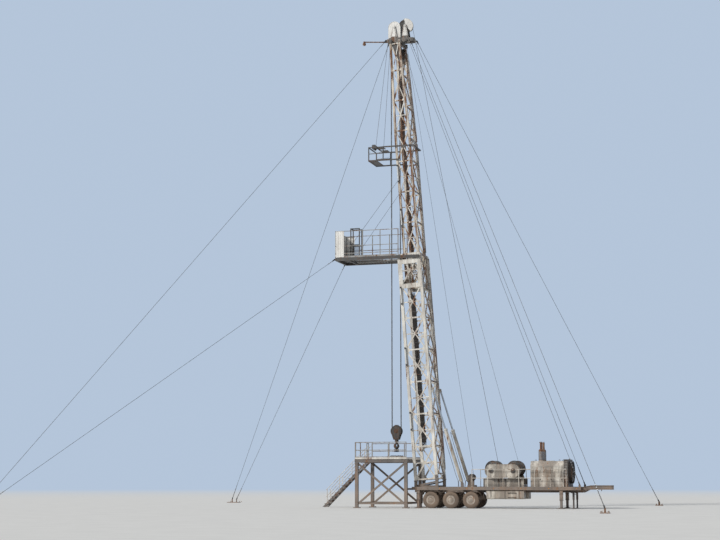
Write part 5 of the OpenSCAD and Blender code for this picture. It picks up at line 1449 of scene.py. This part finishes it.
def makeFloorDetail():
    look = {"toe": 0.11, "toeThick": 0.008, "ringZ": 3.349}
    boards, table = meshes(2)
    z, half, x0, x1 = floor["z"] + 0.012, floor["half"], floor["x0"], floor["x1"]
    thick, high = look["toeThick"], z + look["toe"]
    for side in both:
        y = side * (half - 0.014)
        box(boards, (x0 + 0.03, y, z), (x1 - 0.04, y - side * thick, high))
    for y0, y1 in ((-1.86, -0.72), (0.72, 1.12)):
        box(boards, (x0 + 0.015, y0, z), (x0 + 0.015 + thick, y1, high))
    piece("toeBoards", boards, "mast_paint")
    lathe(table, (0, 0, look["ringZ"]), zAxis,
          ((0.224, -0.02), (0.262, -0.018), (0.27, 0.0), (0.3, 0.006), (0.41, 0.006), (0.418, 0.0),
           (0.418, -0.02)), 48, closed=True)
    boltRing(table, (0, 0, look["ringZ"] + 0.007), zAxis, 0.365, 12, 0.017)
    for a in (pi / 4, 3 * pi / 4, 5 * pi / 4, 7 * pi / 4):
        boxAt(table, (0.285 * cos(a), 0.285 * sin(a), 3.362), (0.05, 0.05, 0.02))
    for sx, sy in product(both, both):
        boltGrid(table, [sx * 0.46], [sy * (0.16 + 0.13 * k) for k in range(3)], [3.27],
                 zAxis, 0.016)
    piece("rotaryTrim", table, "drum_iron")


def makeStairRails():
    look = {"posts": 4, "post": 0.02, "rail": 0.019, "high": 0.95}
    bm = bmesh.new()
    run, high = floor["z"], look["high"]
    foot = floor["x0"] - 0.0003 - run
    for y in (1.155, 1.845):
        for k in range(look["posts"]):
            t = 0.08 + 0.28 * k
            x, z = foot + run * t, run * t
            tube(bm, [(x, y, z - 0.05), (x, y, z + high)], look["post"], 10)
        for up in (0.5, high):
            tube(bm, [(foot + x, y, x + up) for x in (run * 0.06, run - 0.03)], look["rail"], 10)
    piece("stairHandrails", bm, "mast_paint")


def makeSubstructureBolts():
    look = {"leg": 0.12, "foot": 0.15, "heights": (0.36, 2.8, 2.98)}
    bm = bmesh.new()
    half, leg, foot = floor["half"], look["leg"], look["foot"]
    for x, side in product((floor["x0"] + leg, floor["x1"] - leg), both):
        for z in look["heights"]:
            boltGrid(bm, (x - 0.05, x + 0.05), [side * (half - 0.02)], [z], (0, side, 0), 0.016)
        y = side * (half - leg)
        boltGrid(bm, (x - foot, x + foot), (y - foot, y + foot), [0.04], zAxis, 0.018)
    piece("substructureBolts", bm, "rusty_steel")


makeFloorDetail()
makeStairRails()
makeSubstructureBolts()
print("floor dressed")


studio = {"sun": 2.45, "sunAngle": 11.0, "sunFrom": (-0.56, -0.72, 0.56),
          "sunTone": (1.0, 0.965, 0.91), "sky": 0.38, "skyTone": (0.92, 0.96, 1.0),
          "back": (0.46, 0.56, 0.70), "ground": (0.80, 0.795, 0.78), "hazeFrom": 45.0,
          "hazeTo": 260.0, "azimuth": 17.0, "distance": 100.0, "eye": 1.7, "lens": 76.0,
          "aim": (-2.4, 15.6)}


def place(name, data):
    obj = bpy.data.objects.new(name, data)
    bpy.context.scene.collection.objects.link(obj)
    obj.rotation_mode = "QUATERNION"
    return obj


def makeStage():
    # pale ground that fades into the haze far away
    bm = bmesh.new()
    lathe(bm, (0, 0, -0.004), zAxis, ((0.5, 0), (60, 0), (900, 0)), 96)
    bmesh.ops.delete(bm, geom=[f for f in bm.faces if len(f.verts) > 4 and f.calc_area() > 1e4],
                     context="FACES_ONLY")
    mesh = bpy.data.meshes.new("ground")
    bm.to_mesh(mesh)
    bm.free()
    obj = place("ground", mesh)
    material = bpy.data.materials.new("groundPale")
    material.use_nodes = True
    tree = material.node_tree
    shader = tree.nodes["Principled BSDF"]
    coords, parts = positions(tree)
    ground = studio["ground"]
    tone = blend(tree, remap(tree, noiseAt(tree, coords, 0.6, 5.0), 0.3, 0.7), (*ground, 1),
                 (*[c * 0.95 for c in ground], 1))
    tree.links.new(tone, shader.inputs["Base Color"])
    shader.inputs["Roughness"].default_value = 0.95
    plus, times = signs(tree)[:2]
    far = maths(tree, "SQRT", plus(times(parts[0], parts[0]), times(parts[1], parts[1])))
    haze = put(tree, "Emission", {"Color": (*studio["back"], 1), "Strength": 1.0})
    mix = put(tree, "MixShader", {0: remap(tree, far, studio["hazeFrom"], studio["hazeTo"]),
                                  1: shader.outputs[0], 2: haze.outputs[0]})
    tree.links.new(mix.outputs[0], tree.nodes["Material Output"].inputs["Surface"])
    mesh.materials.append(material)


def makeLight():
    lamp = bpy.data.lights.new("sun", "SUN")
    lamp.energy, lamp.color = studio["sun"], studio["sunTone"]
    lamp.angle = radians(studio["sunAngle"])
    place("sun", lamp).rotation_quaternion = Vector(studio["sunFrom"]).to_track_quat("Z", "Y")
    world = bpy.data.worlds.new("studio")
    bpy.context.scene.world = world
    world.use_nodes = True
    tree = world.node_tree
    tree.nodes.clear()
    path = put(tree, "LightPath").outputs
    seen = maths(tree, "MAXIMUM", maths(tree, "MAXIMUM", path["Is Camera Ray"],
                                        path["Is Glossy Ray"]), path["Is Transmission Ray"])
    soft = put(tree, "Background", {"Color": (*studio["skyTone"], 1), "Strength": studio["sky"]})
    back = put(tree, "Background", {"Color": (*studio["back"], 1), "Strength": 1.0})
    mix = put(tree, "MixShader", {0: seen, 1: soft.outputs[0], 2: back.outputs[0]})
    tree.links.new(mix.outputs[0], put(tree, "OutputWorld").inputs["Surface"])


def makeCamera():
    a = radians(studio["azimuth"])
    right, back = Vector((cos(a), sin(a), 0)), Vector((sin(a), -cos(a), 0))
    data = bpy.data.cameras.new("view")
    data.lens, data.sensor_width, data.clip_end = studio["lens"], 36.0, 2000.0
    obj = place("view", data)
    over = right * studio["aim"][0]
    obj.location = back * studio["distance"] + Vector((0, 0, studio["eye"]))
    obj.location += over
    aim = over + Vector((0, 0, studio["aim"][1]))
    obj.rotation_quaternion = (obj.location - aim).to_track_quat("Z", "Y")
    bpy.context.scene.camera = obj
    bpy.context.scene.view_settings.view_transform = "Standard"


makeStage()
makeLight()
makeCamera()
